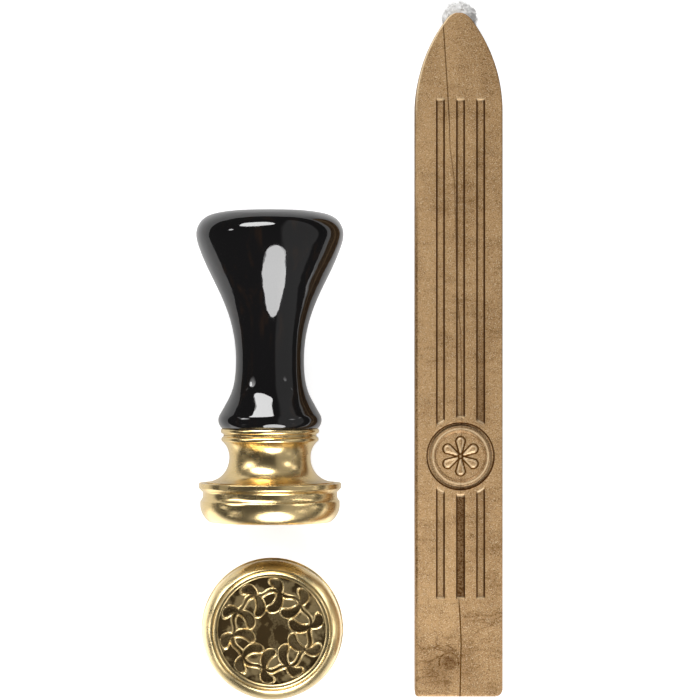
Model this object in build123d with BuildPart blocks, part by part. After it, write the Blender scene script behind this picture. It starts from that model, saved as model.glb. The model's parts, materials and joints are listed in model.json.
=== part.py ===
"""A wax seal set laid out flat: a seal stamp on its side, a loose seal head and a stick of wax.

Millimetres. +Z is up, +Y runs along the wax stick towards its wick, and the origin is on the surface
that the set lies on, under the middle of the set. Heights on the turned pieces are measured along
their axis from the die's rim plane towards the handle.
"""

import math
import os

from build123d import *

# ---------------------------------------------------------------- fits
glue_gap = 0.05          # radial room for glue or a press between pieces that never part
running_gap = 0.05       # radial room of the stud in a thread, threads being plain cylinders
clamp_gap = 0.05         # between the ferrule and the neck when the head is screwed home
end_gap = 0.5            # free room past the end of a blind hole's tenant

# ---------------------------------------------------------------- brass die
rim_radius = 12.5        # rim of the cup, the widest brass
rim_height = 0.9         # length of the rim's cylinder and its top chamfer
rim_chamfer = 0.2
cup_radius = 11.25       # inside of the cup that the neck's flare stands in
cup_depth = 0.95
die_height = 6.85        # rim plane to the top of the cup
bead_radius = 12.26      # fat bead below the groove
bead_height = 3.7        # rim plane to the top of the bead
bead_round_height = 3.2  # height at which the face's big round reaches the bead
groove_radius = 11.8
groove_low = 4.5         # lower and upper end of the groove's floor
groove_high = 5.25
lip_radius = 10.4        # crest of the lip round the face
lip_flat = 0.25          # width of the crest
field_radius = 9.4       # engraved field
field_depth = 0.75       # field below the lip's crest
step_depth = 0.35        # ledge between the lip and the field, below the crest
cove_out = 0.8           # middle of the lip's inner curve, as shares of its width and its depth
cove_down = 0.95
face_round_out = 0.7     # middle of the face's big round, as shares of its width and its height
face_round_up = 0.34
groove_entry = 0.7       # middle of the bead's upper round, as a share of the way to the groove
socket_radius = 6.05     # socket for the neck's spigot
socket_depth = 2.0

# ---------------------------------------------------------------- engraved wreath
leaf_pairs = 10
wreath_turn = 7.0        # degrees, first pair from the field's own X
stem_radius = 6.8
stem_width = 0.5
leaf_width = 1.8
leaf_root = 0.55         # width at the root
leaf_out_radius = 9.1    # radius of the outer leaves' tips, and how far they lean round
leaf_out_lean = 10.5
leaf_in_radius = 3.4     # the same for the inner leaves
leaf_in_lean = 18.0
engraving_depth = 0.5

# ---------------------------------------------------------------- brass neck
neck_height = 15.2       # rim plane to the neck's top
flare_radius = 11.0
flare_edge = 1.1         # height of the flare's edge above the cup's floor
flare_slope = 0.12       # rise of the flare's upper side for each millimetre inwards, at its edge
sweep_out = 1.35         # point of the curve below the waist, from the waist
sweep_drop = 2.95
waist_radius = 7.15
waist_height = 11.04
throat_out = 0.36        # point of the curve above the waist, from the waist
throat_rise = 1.95
shoulder_radius = 8.24   # where the waist's curve runs out under the ring
shoulder_height = 14.02
ring_radius = 8.55
ring_height = 14.55
collar_radius = 8.17     # narrow part on each side of the parting
ring_top = 15.0
thread_radius = 3.0      # M6
thread_pitch = 1.0
engagement = 7.0         # length of stud in the neck
hole_mouth_chamfer = 0.4

# ---------------------------------------------------------------- handle's metal
ferrule_thickness = 1.15
ferrule_radius = 8.62
ferrule_edge = 0.2       # straight edge at the parting
ferrule_crest_drop = 0.3  # widest circle below the handle's foot
ferrule_skirt_radius = 6.5
ferrule_skirt = 2.0      # how far the skirt reaches into the handle
insert_radius = 4.5
insert_length = 14.0
insert_recess = 0.2      # insert's foot above the ferrule's face
stud_length = 20.0
stud_chamfer = 0.4

# ---------------------------------------------------------------- handle
handle_height = 54.8     # rim plane to the top of the dome
foot_radius = 8.4        # edge that stands on the ferrule
foot_bead_radius = 9.08
foot_bead_rise = 1.5     # bead, hollow, waist and head above the handle's foot
foot_bead_end = 2.895    # height at which the bead runs into the hollow's curve
foot_bead_end_out = 0.77  # and how far outside the hollow's radius
foot_bead_lean = 0.5     # inward lean of the curve there for each millimetre up
hollow_radius = 7.83
hollow_rise = 4.3
grip_waist_radius = 6.02
grip_waist_rise = 11.3
head_bead_radius = 12.94
head_bead_drop = 4.3     # widest circle below the top of the dome
dome_shoulder_radius = 11.93
dome_shoulder_drop = 1.84
dome_edge_radius = 8.47
dome_edge_drop = 0.44
flare_stations = (  # shares of rise and spread between the waist and the widest circle
    (0.28, 0.10),
    (0.52, 0.375),
    (0.77, 0.765),
    (0.893, 0.926),
)

# ---------------------------------------------------------------- wax stick
wax_width = 15.5
wax_length = 121.0
wax_thickness = 8.0
ogive_length = 17.5      # side's arc, from the tip down
tip_half_width = 1.3     # half width of the blunt tip
tip_round = 1.1
foot_corner_inner = 0.6  # corner towards the stamp, and the one away from it
foot_corner_outer = 1.4
wax_edge = 0.4
flute_width = 1.4
flute_pitch = 3.55
flute_depth = 0.6
flute_count = 3
flute_start = 17.3       # from the stick's foot
flute_end = 105.7
motif_shift = 0.3        # flutes and medallion beside the stick's centre line
medallion_height = 42.5  # medallion's centre above the stick's foot
medallion_clear = 6.85
ring_radius_outer = 5.98  # dark groove round the medallion
ring_radius_inner = 5.3
ring_depth = 0.6
disc_radius = 4.45       # sunk disc inside the raised ring
disc_depth = 0.35
petal_count = 6          # raised rosette on the disc
petal_reach = 3.3
petal_width = 1.4
petal_root = 0.3
petal_start = 0.7

# ---------------------------------------------------------------- wick
wick_radius = 1.0
tuft_half_width = 3.2
tuft_half_length = 2.1
tuft_half_height = 2.2
tuft_round = 1.4
tuft_proud = 1.7         # how far the tuft stands past the wax's tip
tuft_shift = -0.2        # tuft beside the stick's centre line
wick_room = 0.05         # between the wick and the wax

# ---------------------------------------------------------------- layout
row_gap = 12.6           # between the handle's widest circle and the wax stick
face_gap = 6.5           # between the stamp's face and the loose head
loose_overhang = 0.3     # loose head's rim past the line of the stick's foot
loose_shift = 0.35       # loose head beside the stamp's axis

# ---------------------------------------------------------------- places worked out from these
cup_floor = die_height - cup_depth
rim_low = die_height - rim_height
spigot_radius = socket_radius - glue_gap
hole_radius = thread_radius + running_gap
hole_bottom = neck_height - engagement - end_gap
stud_foot = neck_height - engagement
stud_top = stud_foot + stud_length
ferrule_low = neck_height + clamp_gap
handle_foot = ferrule_low + ferrule_thickness
skirt_top = handle_foot + ferrule_skirt
insert_low = ferrule_low + insert_recess
insert_top = insert_low + insert_length
grip_waist = handle_foot + grip_waist_rise
head_bead = handle_height - head_bead_drop

set_width = 2 * head_bead_radius + row_gap + wax_width
stamp_x = -set_width / 2 + head_bead_radius
wax_x = set_width / 2 - wax_width / 2
foot_y = (loose_overhang - wax_length - tuft_proud) / 2
tip_y = foot_y + wax_length
loose_x = stamp_x + loose_shift
loose_y = foot_y - loose_overhang + rim_radius
stamp_face_y = loose_y + rim_radius + face_gap

# The stamp lies on the rim of its head and on the widest circle of its handle.
lie_angle = math.atan((head_bead_radius - rim_radius) / (head_bead - rim_low))
stamp_face_z = rim_radius * math.cos(lie_angle) - rim_low * math.sin(lie_angle)

# Axial planes: local X is the radius, local Y the height along the piece's axis.
stamp_section = Plane(
    origin=(stamp_x, stamp_face_y, stamp_face_z),
    x_dir=(1, 0, 0),
    z_dir=(0, -math.sin(lie_angle), math.cos(lie_angle)),
)
loose_section = Plane(origin=(loose_x, loose_y, neck_height), x_dir=(1, 0, 0), z_dir=(0, 1, 0))


def axis_of(section):
    """The turning axis of the pieces drawn on an axial plane."""
    return Axis(section.origin, section.y_dir)


def polar(radius, degrees):
    """A point of a sketch given by its radius and its angle."""
    turn = math.radians(degrees)
    return (radius * math.cos(turn), radius * math.sin(turn))


def draw_leaf(root, tip, root_round, tip_round):
    """Fills a teardrop in the current sketch: small round at the root, large round that ends at the tip."""
    along = (Vector(*tip) - Vector(*root)).normalized()
    with Locations(root):
        Circle(root_round)
    with Locations(Vector(*tip) - along * tip_round):
        Circle(tip_round)
    make_hull()


def make_die(section):
    """The brass die: lip and engraved field below, bead and groove outside, cup for the neck on top."""
    axis = axis_of(section)
    field = Plane(
        origin=section.origin + section.y_dir * field_depth,
        x_dir=section.x_dir,
        z_dir=-section.y_dir,
    )
    with BuildPart() as die:
        with BuildSketch(section):
            with BuildLine():
                Polyline((0, field_depth), (field_radius, field_depth), (field_radius, step_depth))
                ThreePointArc(
                    (field_radius, step_depth),
                    (field_radius + (lip_radius - field_radius) * cove_out, step_depth * cove_down),
                    (lip_radius, 0),
                )
                Line((lip_radius, 0), (lip_radius + lip_flat, 0))
                ThreePointArc(
                    (lip_radius + lip_flat, 0),
                    (
                        lip_radius + (bead_radius - lip_radius) * face_round_out,
                        bead_round_height * face_round_up,
                    ),
                    (bead_radius, bead_round_height),
                )
                Line((bead_radius, bead_round_height), (bead_radius, bead_height))
                ThreePointArc(
                    (bead_radius, bead_height),
                    (
                        bead_radius + (groove_radius - bead_radius) * groove_entry,
                        (bead_height + groove_low) / 2,
                    ),
                    (groove_radius, groove_low),
                )
                Polyline(
                    (groove_radius, groove_low),
                    (groove_radius, groove_high),
                    (rim_radius, rim_low),
                    (rim_radius, die_height - rim_chamfer),
                    (rim_radius - rim_chamfer, die_height),
                    (cup_radius, die_height),
                    (cup_radius, cup_floor),
                    (socket_radius, cup_floor),
                    (socket_radius, cup_floor - socket_depth),
                    (0, cup_floor - socket_depth),
                    (0, field_depth),
                )
            make_face()
        revolve(axis=axis)
        with BuildSketch(field):
            RegularPolygon(stem_radius + stem_width / 2, leaf_pairs, rotation=wreath_turn)
            RegularPolygon(stem_radius - stem_width / 2, leaf_pairs, rotation=wreath_turn, mode=Mode.SUBTRACT)
        extrude(amount=-engraving_depth, mode=Mode.SUBTRACT)
        for pair in range(leaf_pairs):
            node_angle = wreath_turn + pair * 360 / leaf_pairs
            node = polar(stem_radius, node_angle)
            for tip_radius, lean in (
                (leaf_out_radius, leaf_out_lean),
                (leaf_in_radius, leaf_in_lean),
            ):
                with BuildSketch(field):
                    draw_leaf(node, polar(tip_radius, node_angle + lean), leaf_root / 2, leaf_width / 2)
                extrude(amount=-engraving_depth, mode=Mode.SUBTRACT)
    return die.part


def make_neck(section):
    """The brass neck: spigot and flare below, waist, small ring, and the blind thread in its top."""
    axis = axis_of(section)
    with BuildPart() as neck:
        with BuildSketch(section):
            with BuildLine():
                Polyline(
                    (0, cup_floor - socket_depth + glue_gap),
                    (spigot_radius, cup_floor - socket_depth + glue_gap),
                    (spigot_radius, cup_floor),
                    (flare_radius, cup_floor),
                    (flare_radius, cup_floor + flare_edge),
                )
                Spline(
                    (flare_radius, cup_floor + flare_edge),
                    (waist_radius + sweep_out, waist_height - sweep_drop),
                    (waist_radius, waist_height),
                    (waist_radius + throat_out, waist_height + throat_rise),
                    (shoulder_radius, shoulder_height),
                    tangents=[(-1, flare_slope), (1, 1)],
                )
                ThreePointArc(
                    (shoulder_radius, shoulder_height),
                    (ring_radius, ring_height),
                    (collar_radius, ring_top),
                )
                Polyline(
                    (collar_radius, ring_top),
                    (collar_radius, neck_height),
                    (hole_radius + hole_mouth_chamfer, neck_height),
                    (hole_radius, neck_height - hole_mouth_chamfer),
                    (hole_radius, hole_bottom),
                    (0, hole_bottom),
                    (0, cup_floor - socket_depth + glue_gap),
                )
            make_face()
        revolve(axis=axis)
    return neck.part


# ---------------------------------------------------------------- handle
with BuildPart() as handle:
    spread = head_bead_radius - grip_waist_radius
    rise = head_bead - grip_waist
    with BuildSketch(stamp_section):
        with BuildLine():
            Polyline(
                (0, handle_height),
                (0, insert_top + end_gap),
                (insert_radius + glue_gap, insert_top + end_gap),
                (insert_radius + glue_gap, skirt_top + glue_gap),
                (ferrule_skirt_radius + glue_gap, skirt_top + glue_gap),
                (ferrule_skirt_radius + glue_gap, handle_foot),
                (foot_radius, handle_foot),
            )
            ThreePointArc(
                (foot_radius, handle_foot),
                (foot_bead_radius, handle_foot + foot_bead_rise),
                (hollow_radius + foot_bead_end_out, handle_foot + foot_bead_end),
            )
            Spline(
                (hollow_radius + foot_bead_end_out, handle_foot + foot_bead_end),
                (hollow_radius, handle_foot + hollow_rise),
                (grip_waist_radius, grip_waist),
                *[
                    (grip_waist_radius + spread * out, grip_waist + rise * up)
                    for up, out in flare_stations
                ],
                (head_bead_radius, head_bead),
                tangents=[(-foot_bead_lean, 1), (0, 1)],
            )
            Spline(
                (head_bead_radius, head_bead),
                (dome_shoulder_radius, handle_height - dome_shoulder_drop),
                (dome_edge_radius, handle_height - dome_edge_drop),
                (0, handle_height),
                tangents=[(0, 1), (-1, 0)],
            )
        make_face()
    revolve(axis=axis_of(stamp_section))

with BuildPart() as handle_ferrule:
    with BuildSketch(stamp_section):
        with BuildLine():
            Polyline(
                (insert_radius + glue_gap, ferrule_low),
                (collar_radius, ferrule_low),
                (collar_radius, ferrule_low + ferrule_edge),
            )
            ThreePointArc(
                (collar_radius, ferrule_low + ferrule_edge),
                (ferrule_radius, handle_foot - ferrule_crest_drop),
                (foot_radius, handle_foot),
            )
            Polyline(
                (foot_radius, handle_foot),
                (ferrule_skirt_radius, handle_foot),
                (ferrule_skirt_radius, skirt_top),
                (insert_radius + glue_gap, skirt_top),
                (insert_radius + glue_gap, ferrule_low),
            )
        make_face()
    revolve(axis=axis_of(stamp_section))

with BuildPart() as handle_insert:
    with BuildSketch(stamp_section):
        with Locations(((insert_radius + hole_radius) / 2, (insert_low + insert_top) / 2)):
            Rectangle(insert_radius - hole_radius, insert_length)
    revolve(axis=axis_of(stamp_section))

with BuildPart() as stud:
    with BuildSketch(stamp_section):
        with Locations((thread_radius / 2, (stud_foot + stud_top) / 2)):
            Rectangle(thread_radius, stud_length)
    revolve(axis=axis_of(stamp_section))
    chamfer(stud.edges().filter_by(GeomType.CIRCLE), stud_chamfer)

# ---------------------------------------------------------------- wax stick
motif_x = wax_x + motif_shift
medallion_y = foot_y + medallion_height
wax_top = Plane.XY.offset(wax_thickness)
wick_plane = Plane(origin=(wax_x, foot_y, wax_thickness / 2), x_dir=(1, 0, 0), z_dir=(0, 1, 0))
ogive_spread = wax_width / 2 - tip_half_width
ogive_radius = (ogive_length**2 + ogive_spread**2) / (2 * ogive_spread)

with BuildPart() as wax_stick:
    with BuildSketch():
        with BuildLine():
            Polyline(
                (wax_x, foot_y),
                (wax_x + wax_width / 2, foot_y),
                (wax_x + wax_width / 2, tip_y - ogive_length),
            )
            RadiusArc(
                (wax_x + wax_width / 2, tip_y - ogive_length),
                (wax_x + tip_half_width, tip_y),
                -ogive_radius,
            )
            Line((wax_x + tip_half_width, tip_y), (wax_x, tip_y))
            mirror(about=Plane.YZ.offset(wax_x))
        outline = make_face()
        fillet(outline.vertices().group_by(Axis.Y)[-1], tip_round)
        fillet(outline.vertices().group_by(Axis.Y)[0].sort_by(Axis.X)[0], foot_corner_inner)
        fillet(outline.vertices().group_by(Axis.Y)[0].sort_by(Axis.X)[-1], foot_corner_outer)
    extrude(amount=wax_thickness)
    fillet(wax_stick.faces().sort_by(Axis.Z)[-1].edges(), wax_edge)
    with BuildSketch(wick_plane):
        Circle(wick_radius + wick_room)
    extrude(amount=wax_length, mode=Mode.SUBTRACT)
    with BuildSketch(wax_top):
        for flute in range(flute_count):
            flute_x = motif_x + (flute - (flute_count - 1) / 2) * flute_pitch
            with Locations((flute_x, foot_y + (flute_start + flute_end) / 2)):
                Rectangle(flute_width, flute_end - flute_start)
        with Locations((motif_x, medallion_y)):
            Circle(medallion_clear, mode=Mode.SUBTRACT)
    extrude(amount=-flute_depth, mode=Mode.SUBTRACT)
    with BuildSketch(wax_top):
        with Locations((motif_x, medallion_y)):
            Circle(ring_radius_outer)
            Circle(ring_radius_inner, mode=Mode.SUBTRACT)
    extrude(amount=-ring_depth, mode=Mode.SUBTRACT)
    with BuildSketch(wax_top):
        with Locations((motif_x, medallion_y)):
            Circle(disc_radius)
    extrude(amount=-disc_depth, mode=Mode.SUBTRACT)
    for petal in range(petal_count):
        turn = 90 + petal * 360 / petal_count
        with BuildSketch(Plane(origin=(motif_x, medallion_y, wax_thickness - disc_depth))):
            draw_leaf(polar(petal_start, turn), polar(petal_reach, turn), petal_root / 2, petal_width / 2)
        extrude(amount=disc_depth)

# ---------------------------------------------------------------- wick
tuft_base = Plane(
    origin=(wax_x + tuft_shift, tip_y + tuft_proud - tuft_half_length, wax_thickness / 2 - tuft_half_height)
)

with BuildPart() as wick:
    with BuildSketch(tuft_base):
        SlotOverall(2 * tuft_half_width, 2 * tuft_half_length)
    extrude(amount=2 * tuft_half_height)
    fillet(wick.edges().group_by(Axis.Z)[0] + wick.edges().group_by(Axis.Z)[-1], tuft_round)
    with BuildSketch():
        with BuildLine():
            shoulder = (wax_x + wax_width / 2 + wick_room, tip_y - ogive_length)
            point = (wax_x + tip_half_width + wick_room, tip_y + wick_room)
            Polyline((wax_x, shoulder[1]), shoulder)
            RadiusArc(shoulder, point, -(ogive_radius + wick_room))
            Line(point, (wax_x, tip_y + wick_room))
            mirror(about=Plane.YZ.offset(wax_x))
        make_face()
    extrude(amount=wax_thickness, mode=Mode.SUBTRACT)
    with BuildSketch(wick_plane):
        Circle(wick_radius)
    extrude(amount=wax_length + tuft_proud / 2)

# ---------------------------------------------------------------- files
os.makedirs("parts", exist_ok=True)
pieces = {
    "handle": handle.part,
    "handle_ferrule": handle_ferrule.part,
    "handle_insert": handle_insert.part,
    "stud": stud.part,
    "head_neck": make_neck(stamp_section),
    "head_die": make_die(stamp_section),
    "loose_neck": make_neck(loose_section),
    "loose_die": make_die(loose_section),
    "wax_stick": wax_stick.part,
    "wick": wick.part,
}
for name, piece in pieces.items():
    piece.label = name
    export_step(piece, f"parts/{name}.step")
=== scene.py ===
"""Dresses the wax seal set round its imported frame: stamp, loose seal head and stick of sealing wax.

Sizes in the classes are millimetres, as on a maker's drawing; meshes and places are metres. Turned
pieces are drawn upright, with heights counted from the die's rim plane towards the handle, and are
then laid on their axis.
"""

import json
import logging
import math
import random
from dataclasses import dataclass
from enum import Enum
from typing import Any, Sequence

import bpy
import numpy as np
from mathutils import Matrix, Vector


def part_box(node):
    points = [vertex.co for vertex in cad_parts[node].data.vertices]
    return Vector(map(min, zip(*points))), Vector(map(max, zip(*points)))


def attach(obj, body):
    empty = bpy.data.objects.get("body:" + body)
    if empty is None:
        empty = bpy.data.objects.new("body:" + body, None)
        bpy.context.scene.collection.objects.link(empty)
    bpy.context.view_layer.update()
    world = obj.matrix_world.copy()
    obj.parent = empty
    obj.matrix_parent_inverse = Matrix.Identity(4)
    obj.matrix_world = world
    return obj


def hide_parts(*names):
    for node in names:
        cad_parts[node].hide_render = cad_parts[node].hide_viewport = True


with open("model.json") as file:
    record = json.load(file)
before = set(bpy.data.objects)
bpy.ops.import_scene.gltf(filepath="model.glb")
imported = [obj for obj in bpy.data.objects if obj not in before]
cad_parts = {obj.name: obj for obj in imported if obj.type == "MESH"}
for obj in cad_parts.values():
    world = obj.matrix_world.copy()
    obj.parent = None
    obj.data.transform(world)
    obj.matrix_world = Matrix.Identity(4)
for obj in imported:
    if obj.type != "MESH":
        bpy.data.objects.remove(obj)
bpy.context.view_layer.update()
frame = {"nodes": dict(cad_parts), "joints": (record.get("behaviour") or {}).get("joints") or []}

LOG = logging.getLogger("wax_seal_set")
MM = 0.001
WELD = 1e-7              # points closer than this, in metres, are one
HINGE_RISE = 18.2        # from the stamp's rim plane to the point of the handle's joint
Station = tuple[float, float]
Triple = tuple[float, float, float]
Colour = Triple
BLACK: Colour = (0.0, 0.0, 0.0)
WHITE: Colour = (1.0, 1.0, 1.0)


class Slot(Enum):
    """The record's material slots."""

    LACQUER = "black_lacquer"
    BRASS = "polished_brass"
    STEEL = "stud_steel"
    WAX = "gold_wax"
    COTTON = "cotton"


# ------------------------------------------------------------------ shader maths
class Value:
    """A number on a shader socket; Python arithmetic on it adds Math nodes."""

    def __init__(self, graph: "Graph", socket: bpy.types.NodeSocket) -> None:
        """Wraps one output socket of a graph."""
        self.graph = graph
        self.socket = socket

    def _math(self, operation: str, *operands: Any) -> "Value":
        """Adds one Math node."""
        return self.graph.value("ShaderNodeMath", 0, {"operation": operation}, dict(enumerate(operands)))

    def __add__(self, other: Any) -> "Value":
        """Sum."""
        return self._math("ADD", self, other)

    __radd__ = __add__

    def __sub__(self, other: Any) -> "Value":
        """Difference."""
        return self._math("SUBTRACT", self, other)

    def __rsub__(self, other: Any) -> "Value":
        """Difference, reflected."""
        return self._math("SUBTRACT", other, self)

    def __mul__(self, other: Any) -> "Value":
        """Product."""
        return self._math("MULTIPLY", self, other)

    __rmul__ = __mul__

    def __pow__(self, other: Any) -> "Value":
        """Power."""
        return self._math("POWER", self, other)

    def at_most(self, other: Any) -> "Value":
        """The smaller of the two."""
        return self._math("MINIMUM", self, other)

    def at_least(self, other: Any) -> "Value":
        """The larger of the two."""
        return self._math("MAXIMUM", self, other)

    def size(self) -> "Value":
        """Absolute value."""
        return self._math("ABSOLUTE", self)

    def eased(self, low: float, high: float) -> "Value":
        """Smooth step from 0 at low to 1 at high; low may be the larger one."""
        ends = {"Value": self, "From Min": low, "From Max": high}
        return self.graph.value("ShaderNodeMapRange", "Result", {"interpolation_type": "SMOOTHSTEP"}, ends)


class Graph:
    """A node tree that is filled by code."""

    def __init__(self, tree: bpy.types.NodeTree) -> None:
        """Empties the tree."""
        self.tree = tree
        tree.nodes.clear()

    def plug(self, socket: bpy.types.NodeSocket, value: Any) -> None:
        """Sets an input socket or links something to it.

        Args:
            socket: the input.
            value: a number, a vector, a colour, a Value or the output of another node.
        """
        if isinstance(value, Value):
            value = value.socket
        if isinstance(value, bpy.types.NodeSocket):
            self.tree.links.new(value, socket)
        else:
            socket.default_value = (*value, 1.0) if socket.type == "RGBA" else value

    def node(
        self, kind: str, settings: dict[str, Any] | None = None, inputs: dict[Any, Any] | None = None
    ) -> bpy.types.Node:
        """Adds one node.

        Args:
            kind: the node's type.
            settings: properties set before the sockets.
            inputs: what goes into the sockets, by their name or number.

        Returns:
            The node.
        """
        made = self.tree.nodes.new(kind)
        for key, value in (settings or {}).items():
            setattr(made, key, value)
        for key, value in (inputs or {}).items():
            self.plug(made.inputs[key], value)
        return made

    def value(
        self,
        kind: str,
        output: str | int,
        settings: dict[str, Any] | None = None,
        inputs: dict[Any, Any] | None = None,
    ) -> Value:
        """Adds one node, as node does, and wraps one of its outputs."""
        return Value(self, self.node(kind, settings, inputs).outputs[output])

    def vector(self, operation: str, first: Any, second: Any) -> bpy.types.Node:
        """Adds one Vector Math node."""
        return self.node("ShaderNodeVectorMath", {"operation": operation}, {0: first, 1: second})

    def parts(self, vector: bpy.types.NodeSocket) -> list[Value]:
        """The X, Y and Z of a vector."""
        return [Value(self, out) for out in self.node("ShaderNodeSeparateXYZ", inputs={0: vector}).outputs]

    def ray(self, kind: str) -> Value:
        """1 for a ray of this kind, else 0."""
        return self.value("ShaderNodeLightPath", f"Is {kind} Ray")

    def blend(self, amount: Value | float, first: Any, second: Any) -> bpy.types.NodeSocket:
        """Mixes two colours; an amount of 1 gives the second."""
        mixed = self.node("ShaderNodeMix", {"data_type": "RGBA"}, {"Factor": amount, 6: first, 7: second})
        return mixed.outputs[2]


class Surface(Graph):
    """The node tree of one material, ending in a Principled shader."""

    def __init__(self, name: str) -> None:
        """Makes the material with its output and shader.

        Args:
            name: the material's name.
        """
        self.material = bpy.data.materials.new(name)
        self.material.use_nodes = True
        super().__init__(self.material.node_tree)
        self.shader = self.node("ShaderNodeBsdfPrincipled")
        self.node("ShaderNodeOutputMaterial", inputs={"Surface": self.shader.outputs[0]})

    def position(self) -> bpy.types.NodeSocket:
        """The point of the surface in the piece's own coordinates."""
        return self.node("ShaderNodeTexCoord").outputs["Object"]

    def attribute(self, name: str) -> Value:
        """A number stored on the mesh's points."""
        return self.value("ShaderNodeAttribute", "Fac", {"attribute_name": name})

    def noise(self, grain_mm: float, detail: float = 2.0, squeeze: Triple = (1.0, 1.0, 1.0)) -> Value:
        """Cloudy noise.

        Args:
            grain_mm: size of one cloud.
            detail: octaves.
            squeeze: how often the noise is squeezed along each axis.

        Returns:
            The noise, about 0.5 in the middle.
        """
        place = self.vector("MULTIPLY", self.position(), squeeze).outputs[0]
        inputs = {"Vector": place, "Scale": 1.0 / (grain_mm * MM), "Detail": detail}
        return self.value("ShaderNodeTexNoise", "Fac", inputs=inputs)

    def relief(self, height: Value, depth_mm: float) -> None:
        """Feeds a height through a Bump node into the shader's normal.

        Args:
            height: the height, about 0 to 1.
            depth_mm: depth of a height of 1.
        """
        inputs = {"Strength": 1.0, "Distance": depth_mm * MM, "Height": height}
        bump = self.node("ShaderNodeBump", inputs=inputs)
        self.plug(self.shader.inputs["Normal"], bump.outputs["Normal"])

    def finish(self, colour: Any, roughness: Value | float, **others: Any) -> bpy.types.Material:
        """Sets the shader's sockets.

        Args:
            colour: base colour.
            roughness: a number or a Value.
            others: other sockets by name, with _ for a space.

        Returns:
            The finished material.
        """
        for name, value in {"Base Color": colour, "Roughness": roughness, **others}.items():
            self.plug(self.shader.inputs[name.replace("_", " ")], value)
        return self.material


# ------------------------------------------------------------------ places
@dataclass(frozen=True)
class TurningAxis:
    """Where a turned piece lies: the centre of its die's rim plane and the way to the handle."""

    foot: Vector
    along: Vector

    def matrix(self) -> Matrix:
        """The move from the upright drawing to the axis.

        Returns:
            A turn and a shift, in metres.
        """
        side = Vector((1.0, 0.0, 0.0))
        across = self.along.cross(side).normalized()
        turn = Matrix((side, across, self.along)).transposed().to_4x4()
        return Matrix.Translation(self.foot) @ turn

    def ring_coordinates(self, graph: Surface) -> tuple[Value, Value]:
        """The place of a surface point about this axis.

        Args:
            graph: the material's graph.

        Returns:
            Radius and height, in metres.
        """
        offset = graph.vector("SUBTRACT", graph.position(), self.foot).outputs["Vector"]
        height = Value(graph, graph.vector("DOT_PRODUCT", offset, self.along).outputs["Value"])
        squared = Value(graph, graph.vector("DOT_PRODUCT", offset, offset).outputs["Value"])
        return (squared - height * height).at_least(0.0) ** 0.5, height


def stamp_axis() -> TurningAxis:
    """The stamp's axis, from the joint that its handle turns on.

    Returns:
        The axis.
    """
    joint = next(j for j in frame["joints"] if j["name"] == "handle_turn")
    along = Vector(joint["axis"]).normalized()
    return TurningAxis(Vector(joint["pos_m"]) - along * HINGE_RISE * MM, along)


def loose_axis() -> TurningAxis:
    """The loose head's axis: its die lies face up."""
    low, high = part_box("loose_die")
    return TurningAxis(Vector(((low.x + high.x) / 2, (low.y + high.y) / 2, high.z)), Vector((0, 0, -1)))


# ------------------------------------------------------------------ outlines
def spline(points: Sequence[Station], start: Station, end: Station, spacing: float) -> list[Station]:
    """A smooth cubic curve through points, with given directions at its ends.

    Args:
        points: stations that the curve passes.
        start: direction at the first point.
        end: direction at the last point.
        spacing: length of one step along the curve.

    Returns:
        Stations after the first one, up to and with the last one.
    """
    knots = np.array(points, float)
    spans = np.linalg.norm(np.diff(knots, axis=0), axis=1)
    count = len(knots)
    system = np.zeros((count, count))
    right = np.zeros((count, 2))
    system[0, 0] = system[-1, -1] = 1.0
    right[0] = np.array(start) / np.linalg.norm(start)
    right[-1] = np.array(end) / np.linalg.norm(end)
    for i in range(1, count - 1):
        before, after = spans[i - 1], spans[i]
        system[i, i - 1 : i + 2] = after, 2 * (before + after), before
        right[i] = 3 * (
            after / before * (knots[i] - knots[i - 1]) + before / after * (knots[i + 1] - knots[i])
        )
    slopes = np.linalg.solve(system, right)
    drawn: list[Station] = []
    for i, span in enumerate(spans):
        steps = max(2, round(span / spacing))
        for step in range(1, steps + 1):
            t = step / steps
            point = (
                (1 + 2 * t) * (1 - t) ** 2 * knots[i]
                + t * (1 - t) ** 2 * span * slopes[i]
                + t * t * (3 - 2 * t) * knots[i + 1]
                + t * t * (t - 1) * span * slopes[i + 1]
            )
            drawn.append((float(point[0]), float(point[1])))
    return drawn


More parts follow.
